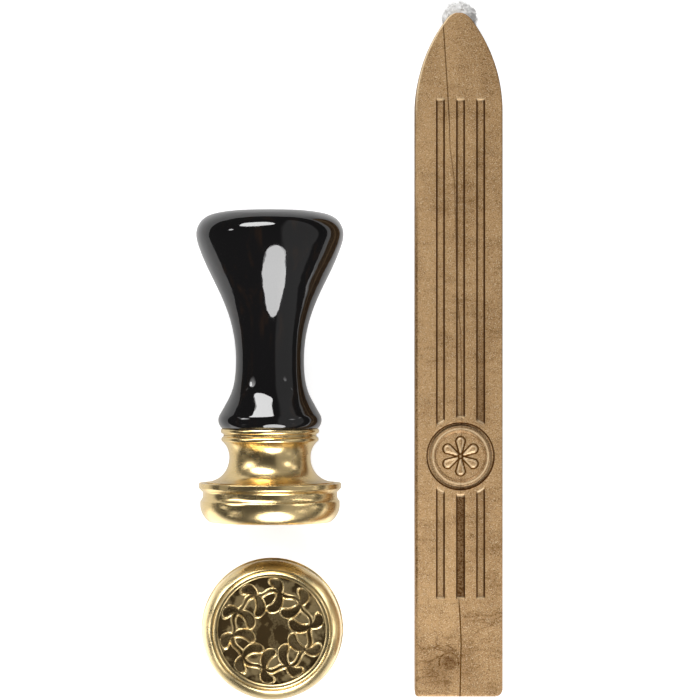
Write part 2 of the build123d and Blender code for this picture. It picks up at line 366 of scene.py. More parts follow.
@dataclass
class Profile:
    """Half outline of a turned piece: stations of radius and height, drawn one stretch after another."""

    stations: list[Station]
    most_of_stretch: float = 0.4    # share of a straight stretch that one rounded corner may take
    guard: float = 0.3              # distance of a station past each end of a bend, in corner reaches
    bend_steps: int = 4

    def line(self, *corners: Station, rounding: float = 0.1) -> "Profile":
        """Straight stretches to the corners, with the corners between them rounded.

        Args:
            corners: stations to go through.
            rounding: radius of the rounded corners.

        Returns:
            This profile.
        """
        path = [Vector(self.stations[-1]), *(Vector(c) for c in corners)]
        for last, corner, coming in zip(path, path[1:], path[2:]):
            back, ahead = last - corner, coming - corner
            reach = min(rounding, self.most_of_stretch * back.length, self.most_of_stretch * ahead.length)
            begin, finish = corner + back.normalized() * reach, corner + ahead.normalized() * reach
            self.stations.append(tuple(begin + back.normalized() * reach * self.guard))
            for step in range(self.bend_steps + 1):
                t = step / self.bend_steps
                bent = begin * (1 - t) ** 2 + corner * 2 * t * (1 - t) + finish * t * t
                self.stations.append(tuple(bent))
            self.stations.append(tuple(finish + ahead.normalized() * reach * self.guard))
        self.stations.append(tuple(path[-1]))
        return self

    def arc(self, middle: Station, end: Station, steps: int) -> "Profile":
        """A circular arc that starts at the last station.

        Args:
            middle: a station on the way.
            end: the arc's last station.
            steps: number of straight pieces.

        Returns:
            This profile.
        """
        (ax, ay), (bx, by), (cx, cy) = self.stations[-1], middle, end
        d = 2 * (ax * (by - cy) + bx * (cy - ay) + cx * (ay - by))
        a2, b2, c2 = ax * ax + ay * ay, bx * bx + by * by, cx * cx + cy * cy
        ux = (a2 * (by - cy) + b2 * (cy - ay) + c2 * (ay - by)) / d
        uy = (a2 * (cx - bx) + b2 * (ax - cx) + c2 * (bx - ax)) / d
        radius = math.hypot(ax - ux, ay - uy)
        first, mid, last = (math.atan2(y - uy, x - ux) for x, y in ((ax, ay), (bx, by), (cx, cy)))
        turn = (last - first) % math.tau
        if (mid - first) % math.tau > turn:
            turn -= math.tau
        for step in range(1, steps + 1):
            angle = first + turn * step / steps
            self.stations.append((ux + radius * math.cos(angle), uy + radius * math.sin(angle)))
        return self

    def curve(self, points: Sequence[Station], start: Station, end: Station, spacing: float) -> "Profile":
        """A smooth curve from the last station through the points."""
        self.stations += spline([self.stations[-1], *points], start, end, spacing)
        return self


# ------------------------------------------------------------------ modelling by hand
def only(piece: bpy.types.Object) -> None:
    """Selects one object alone and makes it the active one.

    Args:
        piece: the object.
    """
    bpy.ops.object.select_all(action="DESELECT")
    piece.select_set(True)
    bpy.context.view_layer.objects.active = piece


def lay_down(piece: bpy.types.Object, place: Matrix | None = None) -> None:
    """Puts an object's place into its mesh, so that the object itself stands at the origin.

    Args:
        piece: the object.
        place: where it goes; None leaves it where it is.
    """
    if place is not None:
        piece.matrix_world = place
    only(piece)
    bpy.ops.object.transform_apply(location=True, rotation=True, scale=True)


def weld() -> None:
    """Merges the doubled points of the piece that is in edit mode, turns its faces out and ends the edit."""
    bpy.ops.mesh.select_all(action="SELECT")
    bpy.ops.mesh.remove_doubles(threshold=WELD)
    bpy.ops.mesh.normals_make_consistent(inside=False)
    bpy.ops.object.mode_set(mode="OBJECT")


def store(piece: bpy.types.Object, name: str, values: np.ndarray) -> None:
    """Stores one number for each point of a mesh, for its material to read."""
    layer = piece.data.attributes.new(name, "FLOAT", "POINT")
    layer.data.foreach_set("value", values.astype(np.float32))


def points_of(piece: bpy.types.Object) -> np.ndarray:
    """Reads a mesh's points.

    Args:
        piece: the object.

    Returns:
        One row for each point, in millimetres.
    """
    flat = np.zeros(len(piece.data.vertices) * 3)
    piece.data.vertices.foreach_get("co", flat)
    return flat.reshape(-1, 3) / MM


def move_points(piece: bpy.types.Object, points: np.ndarray) -> None:
    """Puts a mesh's points at new places, in millimetres."""
    piece.data.vertices.foreach_set("co", (points * MM).ravel())
    piece.data.update()


def turned(name: str, profile: Profile, segments: int) -> bpy.types.Object:
    """Turns a half outline about Z, as on a lathe.

    Args:
        name: the piece's name.
        profile: a closed loop, or stations of which the first and the last lie on the axis.
        segments: facets round the axis.

    Returns:
        The upright piece, a closed mesh.
    """
    stations = profile.stations
    bpy.ops.object.select_all(action="DESELECT")
    bpy.ops.mesh.primitive_circle_add(vertices=len(stations), radius=MM)
    piece = bpy.context.object
    piece.name = name
    for vertex, (radius, height) in zip(piece.data.vertices, stations):
        vertex.co = Vector((max(radius, 0.0), 0.0, height)) * MM
    if stations[0][0] <= 0.0 and stations[-1][0] <= 0.0:
        open_at_axis(piece, len(stations) - 1)
    lathe = piece.modifiers.new("lathe", "SCREW")
    lathe.axis = "Z"
    lathe.angle = math.tau
    lathe.steps = lathe.render_steps = segments
    lathe.use_merge_vertices = True
    lathe.merge_threshold = WELD
    only(piece)
    bpy.ops.object.modifier_apply(modifier=lathe.name)
    bpy.ops.object.mode_set(mode="EDIT")
    weld()
    return piece


def open_at_axis(outline: bpy.types.Object, last: int) -> None:
    """Deletes the edge between an outline's first and last points, which both lie on the axis.

    Args:
        outline: the object, a loop of edges.
        last: number of its last point.
    """
    bpy.ops.object.mode_set(mode="EDIT")
    bpy.ops.mesh.select_mode(type="EDGE")
    bpy.ops.mesh.select_all(action="DESELECT")
    bpy.ops.object.mode_set(mode="OBJECT")
    for edge in outline.data.edges:
        edge.select = set(edge.vertices) == {0, last}
    bpy.ops.object.mode_set(mode="EDIT")
    bpy.ops.mesh.delete(type="EDGE")
    bpy.ops.object.mode_set(mode="OBJECT")


def join(pieces: Sequence[bpy.types.Object], name: str) -> bpy.types.Object:
    """Joins objects into the first one.

    Args:
        pieces: the objects.
        name: name of the joined piece.

    Returns:
        The joined piece.
    """
    only(pieces[0])
    for piece in pieces:
        piece.select_set(True)
    bpy.ops.object.join()
    pieces[0].name = name
    return pieces[0]


def hand_over(
    piece: bpy.types.Object,
    body: str,
    nodes: Sequence[str],
    material: bpy.types.Material,
    sharp: float,
) -> None:
    """Smooths and dresses a finished piece and lets it ride on its body in place of CAD nodes.

    Args:
        piece: the finished object, at the origin.
        body: the body it moves with.
        nodes: the CAD nodes that it stands for.
        material: its finish.
        sharp: angle in degrees over which an edge stays sharp.
    """
    only(piece)
    bpy.ops.object.shade_smooth_by_angle(angle=math.radians(sharp))
    piece.data.materials.clear()
    piece.data.materials.append(material)
    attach(piece, body)
    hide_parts(*nodes)
    LOG.info("%s: %d faces on %s, for %s", piece.name, len(piece.data.polygons), body, ", ".join(nodes))


def paint_node(name: str, material: bpy.types.Material) -> None:
    """Gives a CAD node that stays its material.

    Args:
        name: the node.
        material: its finish.
    """
    node = frame["nodes"][name]
    node.data.materials.clear()
    node.data.materials.append(material)
    LOG.info("%s: the CAD node stays, as %s", name, material.name)


def smooth(low: float, high: float, values: np.ndarray) -> np.ndarray:
    """Smooth step from 0 at low to 1 at high."""
    t = np.clip((values - low) / (high - low), 0, 1)
    return t * t * (3 - 2 * t)


def streak(distance: np.ndarray, width: float) -> np.ndarray:
    """A soft line: 1 where the distance is 0, and faded at about twice the width."""
    return np.exp(-((distance / width) ** 2))


# ------------------------------------------------------------------ finishes
@dataclass(frozen=True)
class Brass:
    """Polished brass with the lathe's fine rings, faint tarnish, dark patina in engraved hollows, and painted
    shade on the cove and field inside the die's lip.
    """

    bright: Colour = (0.87, 0.665, 0.335)
    tarnished: Colour = (0.66, 0.455, 0.185)
    # painted shade: colour painted on the cove and field inside the lip
    painted_shade: Colour = (0.38, 0.27, 0.115)
    patina: Colour = (0.030, 0.017, 0.006)
    roughness: float = 0.20
    patina_roughness: float = 0.28
    ring_pitch: float = 0.15
    ring_depth: float = 0.008
    face_rings: float = 0.8         # how close the rings of a flat face lie, to those of a wall
    smudge_size: float = 4.0
    # painted shade: how much of that colour the cove and field take, and the radii over which it sets in
    film: float = 0.42
    painted_shade_edge: Station = (10.5, 9.8)
    dark_middle: Station = (4.8, 2.8)
    pocket_edge: Station = (0.04, -0.12)
    ground_edge: Station = (0.20, 0.40)
    patch_size: float = 2.6
    wear_size: float = 5.0
    pit_size: float = 0.30
    pit_relief: float = 3.0

    def material(self, name: str, axis: TurningAxis, patinated: bool) -> bpy.types.Material:
        """Builds the finish for pieces on one axis.

        Args:
            name: the material's name.
            axis: the axis that the turning rings go round.
            patinated: True reads the mesh's distances from the engraving.

        Returns:
            The material.
        """
        graph = Surface(name)
        radius, height = axis.ring_coordinates(graph)
        along = (radius * self.face_rings + height) * (1.0 / (self.ring_pitch * MM))
        one_way = {"noise_dimensions": "1D"}
        rings = graph.value("ShaderNodeTexNoise", "Fac", one_way, {"W": along, "Scale": 1.0, "Detail": 3.0})
        smudge = graph.noise(self.smudge_size, 4.0).eased(0.42, 0.72)
        colour = graph.blend(smudge * 0.35 + rings * 0.15, self.bright, self.tarnished)
        roughness = self.roughness + smudge * 0.07 + rings * 0.06
        relief = rings
        if patinated:
            pits = graph.noise(self.pit_size, 4.0)
            dark = self._patina(graph, radius, pits)
            # painted shade darkens the cove and field inside the lip
            start, full = self.painted_shade_edge
            lip_shade_mask = radius.eased(start * MM, full * MM)
            colour = graph.blend(lip_shade_mask * self.film, colour, self.painted_shade)
            colour = graph.blend(dark, colour, self.patina)
            roughness = roughness + dark * self.patina_roughness
            relief = rings + pits * dark * self.pit_relief
        graph.relief(relief, self.ring_depth)
        return graph.finish(colour, roughness, Metallic=1.0)

    def _patina(self, graph: Surface, radius: Value, pits: Value) -> Value:
        """Dark film in the engraved pockets and, in patches, on the ground between them.

        Args:
            graph: the material's graph.
            radius: distance from the axis.
            pits: fine noise.

        Returns:
            How dark the film is.
        """
        cut = graph.attribute("cut")
        patches = graph.noise(self.patch_size, 2.5).eased(0.42, 0.57)
        worn = graph.noise(self.wear_size, 1.0).eased(0.46, 0.62)
        pocket = cut.eased(*self.pocket_edge) * (0.98 - worn * 0.12)
        start, full = self.dark_middle
        middle = radius.eased(start * MM, full * MM)
        spread = 0.60 + patches * 0.44 + middle * 0.28
        ground = cut.eased(*self.ground_edge) * graph.attribute("field") * spread
        return (pocket.at_least(ground) * (0.75 + pits * 0.45)).at_most(0.97)


@dataclass(frozen=True)
class BlackLacquer:
    """Deep black gloss lacquer over turned wood: slow waves, faint brown depth and light wipe marks."""

    black: Colour = (0.0045, 0.0042, 0.0045)
    brown: Colour = (0.013, 0.0075, 0.005)
    roughness: float = 0.05
    grain: float = 1.6
    grain_squeeze: Triple = (1.0, 0.12, 1.0)
    wipe: float = 2.4
    wave: float = 4.0
    wave_depth: float = 0.09
    ripple: float = 1.5
    ripple_share: float = 0.14
    wipe_roughness: float = 0.03
    coat: float = 0.35
    coat_roughness: float = 0.02

    def material(self, name: str) -> bpy.types.Material:
        """Builds the finish; its grain runs along the handle.

        Args:
            name: the material's name.

        Returns:
            The material.
        """
        graph = Surface(name)
        grain = graph.noise(self.grain, 3.0, self.grain_squeeze)
        wipe = graph.noise(self.wipe, 4.0).eased(0.45, 0.8)
        waves = graph.noise(self.wave, 1.0) + graph.noise(self.ripple, 1.0) * self.ripple_share
        colour = graph.blend(grain.eased(0.5, 0.78), self.black, self.brown)
        graph.relief(waves, self.wave_depth)
        coat = {"Coat_Weight": self.coat, "Coat_Roughness": self.coat_roughness, "Coat_IOR": 1.5}
        return graph.finish(colour, self.roughness + wipe * self.wipe_roughness, **coat)


@dataclass(frozen=True)
class Steel:
    """Plain turned steel of the stud."""

    bright: Colour = (0.58, 0.58, 0.6)
    dull: Colour = (0.36, 0.35, 0.34)
    roughness: float = 0.3
    film: float = 0.8
    scratch: float = 0.12
    scratch_depth: float = 0.002

    def material(self, name: str) -> bpy.types.Material:
        """Builds the finish.

        Args:
            name: the material's name.

        Returns:
            The material.
        """
        graph = Surface(name)
        film = graph.noise(self.film, 3.0)
        colour = graph.blend(film, self.bright, self.dull)
        graph.relief(graph.noise(self.scratch, 2.0), self.scratch_depth)
        return graph.finish(colour, self.roughness + film * 0.15, Metallic=1.0)


@dataclass(frozen=True)
class GoldWax:
    """Satin gold pearl wax: brown clouds, mica grain with painted glints, seam and cold-flow marks, painted
    shade along walls and side edges and towards the right side, and painted highlights on edges.
    """

    gold: Colour = (0.455, 0.285, 0.134)
    brown: Colour = (0.17, 0.088, 0.030)
    # hollow: dark brown of the stains and the seam, and of the painted shade along walls and edges
    hollow: Colour = (0.088, 0.030, 0.002)
    glint: Colour = (0.92, 0.74, 0.48)
    mica: float = 0.11
    grain: float = 0.26
    cloud: float = 5.0
    cloud_squeeze: Triple = (1.0, 0.7, 1.0)
    streak: float = 2.2
    streak_squeeze: Triple = (0.45, 1.6, 1.0)
    swirl: float = 3.2
    swirl_squeeze: Triple = (0.55, 1.5, 1.0)
    # painted shade along the flutes' side walls, the groove, the petals and the disc's edge
    wall_shade_line: Station = (-0.06, 0.22)             # middle and half width of the dark line
    seam_line: Station = (0.15, 0.04)
    # painted shade: darker towards the right side, away from the light
    painted_right_shade: Triple = (17.8, 20.2, 0.15)      # from, to, amount
    browner_tip: Triple = (35.0, 55.0, 0.10)
    browner_foot: Triple = (-38.0, -56.0, 0.12)
    roughness: float = 0.42
    relief_depth: float = 0.022

    def material(self, name: str) -> bpy.types.Material:
        """Builds the finish from the distances and marks stored on the mesh.

        Args:
            name: the material's name.

        Returns:
            The material.
        """
        graph = Surface(name)
        grain = graph.noise(self.grain, 3.0)
        clouds = graph.noise(self.cloud, 5.0, self.cloud_squeeze)
        inputs = {"Vector": graph.position(), "Scale": 1.0 / (self.mica * MM)}
        flakes = graph.node("ShaderNodeTexVoronoi", {"feature": "F1"}, inputs)
        split = graph.node("ShaderNodeSeparateColor", inputs={0: flakes.outputs["Color"]})
        chance, tilt = Value(graph, split.outputs[0]), Value(graph, split.outputs[1])
        # painted glints: the larger mica flakes take the glint colour
        glints = chance.eased(0.62, 1.0) * grain.eased(0.38, 0.62)
        specks = chance.eased(0.38, 0.0)

        # painted shade: dark lines along the flutes' side walls, the groove, the petals and the disc's edge
        centre, half = self.wall_shade_line
        walls = (graph.attribute("wall") - centre).size().eased(half, half * 0.35)
        deep = graph.attribute("seam_depth")
        seam = (graph.attribute("seam").size() * (1.5 - deep * 0.5)).eased(*self.seam_line) * deep
        vein = (graph.noise(self.swirl, 1.5, self.swirl_squeeze) - 0.5).size().eased(0.030, 0.006)
        stains_and_shade = graph.attribute("stains_and_shade") * (0.5 + grain.eased(0.36, 0.64) * 0.7)
        stains_and_shade = stains_and_shade.at_least(vein * graph.attribute("flow"))
        # stains, cold flow and the seam, together with painted shade along walls and side edges
        dark = stains_and_shade.at_least(seam * (0.55 + grain * 0.6)).at_least(walls * 0.98)

        brown_with_shade = self._brown_and_painted_shade(graph, clouds, grain) + specks * 0.34
        colour = graph.blend(brown_with_shade.at_most(1.0), self.gold, self.brown)
        colour = graph.blend(glints * 0.55, colour, self.glint)
        colour = graph.blend(dark.at_most(0.97), colour, self.hollow)
        # painted highlights on edges that face the lamps
        colour = graph.blend(graph.attribute("painted_edge_highlight") * 0.95, colour, self.glint)
        graph.relief(tilt * 0.7 + grain * 0.9 + clouds * 1.5 - seam * 2.0, self.relief_depth)
        roughness = self.roughness + grain * 0.12 - glints * 0.12
        metallic = dark.at_most(1.0) * 0.6 + 0.35
        return graph.finish(colour, roughness, Metallic=metallic, Specular_IOR_Level=0.3)

    def _brown_and_painted_shade(self, graph: Surface, clouds: Value, grain: Value) -> Value:
        """How brown the wax is: clouds and streaks, more of it towards both ends, and painted shade towards
        the right side.

        Args:
            graph: the material's graph.
            clouds: cloudy noise.
            grain: fine noise.

        Returns:
            The share of brown.
        """
        streaks = graph.noise(self.streak, 4.0, self.streak_squeeze)
        x, y, _ = graph.parts(graph.position())
        brown = clouds.eased(0.40, 0.72) * 0.30 + streaks.eased(0.45, 0.75) * 0.28
        brown = brown + grain.eased(0.42, 0.66) * 0.42 - 0.06
        # painted shade towards the right side; both ends browner
        for place, change in ((x, self.painted_right_shade), (y, self.browner_tip), (y, self.browner_foot)):
            start, full, amount = change
            brown = brown + place.eased(start * MM, full * MM) * amount
        return brown


@dataclass(frozen=True)
class Cotton:
    """Undyed cotton, soft and fibrous."""

    white: Colour = (0.86, 0.855, 0.845)
    shadow: Colour = (0.60, 0.59, 0.575)
    fluff: float = 0.9
    fibre: float = 0.16
    fibre_depth: float = 0.03
    roughness: float = 0.95

    def material(self, name: str) -> bpy.types.Material:
        """Builds the finish.

        Args:
            name: the material's name.

        Returns:
            The material.
        """
        graph = Surface(name)
        fluff = graph.noise(self.fluff, 3.0).eased(0.42, 0.74)
        colour = graph.blend(fluff * 0.45, self.white, self.shadow)
        graph.relief(graph.noise(self.fibre, 3.0), self.fibre_depth)
        return graph.finish(colour, self.roughness, Sheen_Weight=0.1, Sheen_Roughness=0.5)


# ------------------------------------------------------------------ turned pieces
def cut_thread(
    piece: bpy.types.Object, radius: float, span: Station, depth: float, pitch: float = 1.0
) -> None:
    """Moves the points of a cylinder into a helical thread.

    Args:
        piece: upright turned piece.
        radius: the cylinder's radius.
        span: lowest and highest point of the thread.
        depth: depth of the thread; over 0 it is cut outward from a hole, below 0 into a rod.
        pitch: rise of one turn.
    """
    points = points_of(piece)
    distance = np.hypot(points[:, 0], points[:, 1])
    turn = np.arctan2(points[:, 1], points[:, 0]) / math.tau
    wave = np.abs(((points[:, 2] / pitch - turn) % 1.0) * 2 - 1)
    groove = np.clip(wave * 1.5 - 0.25, 0, 1)
    on_wall = (np.abs(distance - radius) < 1e-3) & (points[:, 2] > span[0]) & (points[:, 2] < span[1])
    scale = np.where(on_wall, 1 + depth * groove / radius, 1.0)
    points[:, :2] *= scale[:, None]
    move_points(piece, points)


@dataclass(frozen=True)
class SealHead:
    """A seal head: an engraved brass die pressed on a brass neck that screws onto the handle's stud."""

    axis: TurningAxis
    body: str
    rim_radius: float = 12.5
    rim_low: float = 5.95
    die_height: float = 6.85
    cup_radius: float = 11.25
    cup_floor: float = 5.9
    bead_radius: float = 12.26
    bead_height: float = 3.7
    bead_round: float = 3.2
    groove_radius: float = 11.8
    groove: Station = (4.5, 5.25)
    lip_radius: float = 10.4
    lip_flat: float = 0.25
    field_radius: float = 9.4
    field_depth: float = 0.75
    field_rings: int = 100
    field_share: float = 0.995      # how far the rings reach, in shares of the field's radius
    step_depth: float = 0.35
    socket_radius: float = 6.05
    socket_floor: float = 3.9
    corner: float = 0.12
    outer_corner: float = 0.14

    leaf_pairs: int = 10
    wreath_turn: float = 7.0
    stem_radius: float = 6.8
    stem_width: float = 0.5
    stem_sway: float = 0.28
    leaf_width: float = 1.8
    leaf_root: float = 0.55
    leaf_tips: tuple[Station, Station] = ((9.1, 10.5), (3.4, 18.0))
    leaf_bend: float = 0.75
    engraving: float = 0.34
    stem_share: float = 0.55        # depth of the stems, in shares of the leaves' depth
    wall_band: Station = (-0.16, 0.05)
    burr: float = 0.25
    burr_crest: float = 0.13
    burr_width: float = 0.12
    burr_swell: Station = (0.72, 0.40)
    calm_edge: Station = (0.5, 0.12)    # the engraving fades over these distances from the field's edge

    neck_top: float = 15.2
    spigot_room: float = 0.05
    flare_low: float = 5.91
    flare: Station = (11.0, 7.0)
    waist: tuple[Station, ...] = ((8.5, 8.09), (7.15, 11.04), (7.51, 12.99), (8.24, 14.02))
    ring: Station = (8.55, 14.55)
    collar: Station = (8.17, 15.0)
    hole_radius: float = 3.05
    hole_bottom: float = 7.7
    hole_chamfer: float = 0.4
    thread_rows: int = 65
    thread_depth: float = 0.28
    thread_ends: Station = (0.2, 0.45)
    die_segments: int = 480
    neck_segments: int = 240

    def engraved_distance(self, x: np.ndarray, y: np.ndarray) -> tuple[np.ndarray, np.ndarray]:
        """Distances from points of the field to the wreath's outlines, less than 0 inside.

        Args:
            x: first coordinates in the field.
            y: second coordinates in the field.

        Returns:
            The distance to the nearest leaf and to the stems.
        """
        leaves = np.full(x.shape, np.inf)
        start = math.radians(self.wreath_turn)
        for pair in range(self.leaf_pairs):
            angle = start + pair * math.tau / self.leaf_pairs
            root = self.stem_radius * np.array((math.cos(angle), math.sin(angle)))
            for tip_radius, lean in self.leaf_tips:
                turn = angle + math.radians(lean)
                tip = tip_radius * np.array((math.cos(turn), math.sin(turn)))
                leaves = np.minimum(leaves, self._leaf(x, y, root, tip))
        sway = self.stem_sway * np.sin((np.arctan2(y, x) - start) * self.leaf_pairs)
        stems = np.abs(np.hypot(x, y) - self.stem_radius - sway) - self.stem_width / 2
        return leaves, stems

    def _leaf(self, x: np.ndarray, y: np.ndarray, root: np.ndarray, tip: np.ndarray) -> np.ndarray:
        """Distance to one bent teardrop with a small round at its root and a large one at its tip.

        Args:
            x: first coordinates in the field.
            y: second coordinates in the field.
            root: the leaf's point on the stem ring.
            tip: its far point.

        Returns:
            The distance, less than 0 inside.
        """
        reach = float(np.linalg.norm(tip - root))
        along = (tip - root) / reach
        small, large = self.leaf_root / 2, self.leaf_width / 2
        length = reach - large
        straight = (x - root[0]) * along[0] + (y - root[1]) * along[1]
        aside = (y - root[1]) * along[0] - (x - root[0]) * along[1]
        away = np.hypot(straight, aside)
        outward = 1.0 if np.hypot(*tip) > self.stem_radius else -1.0
        angle = np.arctan2(aside, straight) + outward * self.leaf_bend * (1 - away / reach)
        bent_along, bent_across = away * np.cos(angle), np.abs(away * np.sin(angle))
        slope = (small - large) / length
        level = math.sqrt(1 - slope * slope)
        place = level * bent_along - slope * bent_across
        before = np.hypot(bent_across, bent_along) - small
        beside = bent_across * level + bent_along * slope - small
        beyond = np.hypot(bent_across, bent_along - length) - large
        return np.where(place < 0, before, np.where(place > level * length, beyond, beside))

    def die(self) -> bpy.types.Object:
        """Turns the die and cuts the wreath into its field.

        Returns:
            The upright piece.
        """
        field, lip, bead, groove = self.field_radius, self.lip_radius, self.bead_radius, self.groove_radius
        low, high = self.groove
        rings = range(1, self.field_rings + 1)
        profile = Profile([(0.0, self.field_depth)])
        profile.stations += [
            (field * self.field_share * ring / self.field_rings, self.field_depth) for ring in rings
        ]
        profile.line((field, self.field_depth), (field, self.step_depth), rounding=self.corner)
        profile.arc((field * 0.2 + lip * 0.8, self.step_depth * 0.95), (lip, 0.0), 8)
        profile.line((lip + self.lip_flat, 0.0))
        profile.arc((lip + (bead - lip) * 0.7, self.bead_round * 0.34), (bead, self.bead_round), 16)
        profile.line((bead, self.bead_height))
        profile.arc((bead * 0.3 + groove * 0.7, (self.bead_height + low) / 2), (groove, low), 8)
        profile.line(
            (groove, high),
            (self.rim_radius, self.rim_low),
            (self.rim_radius, self.die_height),
            (self.cup_radius, self.die_height),
            (self.cup_radius, self.cup_floor),
            (self.socket_radius, self.cup_floor),
            (self.socket_radius, self.socket_floor),
            (0.0, self.socket_floor),
            rounding=self.outer_corner,
        )
        piece = turned("die", profile, self.die_segments)
        self._engrave(piece)
        return piece

    def _engrave(self, piece: bpy.types.Object) -> None:
        """Moves the field's points into the wreath and stores where its outlines run.

        Args:
            piece: the upright die.
        """
        points = points_of(piece)
        x, y, height = points.T.copy()
        radius = np.hypot(x, y)
        in_field = (radius < self.field_radius * self.field_share + 0.001) & (height < self.field_depth + 0.1)
        leaves, stems = self.engraved_distance(x, -y)
        cut = np.minimum(leaves, stems)
        wall = 1 - smooth(*self.wall_band, cut)
        burr = self.burr * streak(cut - self.burr_crest, self.burr_width)
        least, swell = self.burr_swell
        burr *= least + swell * np.sin(x * 1.3 - y * 0.9 + 0.6)
        depth = self.engraving * wall * np.where(leaves < stems, 1.0, self.stem_share) - burr
        start, end = self.calm_edge
        depth *= 1 - smooth(self.field_radius - start, self.field_radius - end, radius)
        points[:, 2] += np.where(in_field, depth, 0.0)
        move_points(piece, points)
        store(piece, "cut", np.where(in_field, cut, 9.0))
        front = points[:, 2] < self.socket_floor - 0.9
        store(piece, "field", np.where((radius < self.field_radius + 0.02) & front, 1.0, 0.0))

    def neck(self) -> bpy.types.Object:
        """Turns the neck with its blind hole and tapped thread.

        Returns:
            The upright piece.
        """
        spigot, low = self.socket_radius - self.spigot_room, self.socket_floor + self.spigot_room
        profile = Profile([(0.0, low)])
        profile.line(
            (spigot, low),
            (spigot, self.flare_low),
            (self.flare[0], self.flare_low),
            self.flare,
            rounding=self.corner,
        )
        profile.curve(self.waist, (-1.0, 0.12), (1.0, 1.0), 0.25)
        profile.arc(self.ring, self.collar, 10)
        mouth, wall_top = self.hole_radius + self.hole_chamfer, self.neck_top - self.hole_chamfer
        profile.line((self.collar[0], self.neck_top), (mouth, self.neck_top), rounding=0.06)
        for row in range(self.thread_rows + 1):
            height = wall_top - (wall_top - self.hole_bottom) * row / self.thread_rows
            profile.stations.append((self.hole_radius, height))
        profile.stations.append((0.0, self.hole_bottom))
        piece = turned("neck", profile, self.neck_segments)
        below, above = self.thread_ends
        span = (self.hole_bottom + below, self.neck_top - above)
        cut_thread(piece, self.hole_radius, span, self.thread_depth)
        return piece

    def build(
        self, prefix: str, nodes: Sequence[str], die_brass: bpy.types.Material, plain: bpy.types.Material
    ) -> None:
        """Makes both pieces and dresses them.

        Args:
            prefix: start of the pieces' names.
            nodes: the CAD nodes of the neck and of the die.
            die_brass: finish of the die.
            plain: finish of the neck.
        """
        neck, die = self.neck(), self.die()
        neck.name, die.name = prefix + "brass_neck", prefix + "engraved_die"
        for piece, node, material in ((neck, nodes[0], plain), (die, nodes[1], die_brass)):
            lay_down(piece, self.axis.matrix())
            hand_over(piece, self.body, [node], material, 50)


@dataclass(frozen=True)
class Stud:
    """The double-ended threaded stud between the head and the handle."""

    axis: TurningAxis
    body: str = "screw"
    radius: float = 3.0
    low: float = 8.2
    length: float = 20.0
    chamfer: float = 0.4
    rows: int = 190
    thread_depth: float = 0.5
    segments: int = 72

    def build(self, steel: bpy.types.Material) -> None:
        """Turns a rod, cuts its thread and dresses it.

        Args:
            steel: its finish.
        """
        high, end_radius = self.low + self.length, self.radius - self.chamfer
        profile = Profile([(0.0, self.low), (end_radius, self.low)])
        for row in range(self.rows + 1):
            height = self.low + self.chamfer + (self.length - 2 * self.chamfer) * row / self.rows
            profile.stations.append((self.radius, height))
        profile.stations += [(end_radius, high), (0.0, high)]
        piece = turned("threaded_stud", profile, self.segments)
        cut_thread(piece, self.radius, (self.low, high), -self.thread_depth)
        lay_down(piece, self.axis.matrix())
        hand_over(piece, self.body, ["stud"], steel, 60)


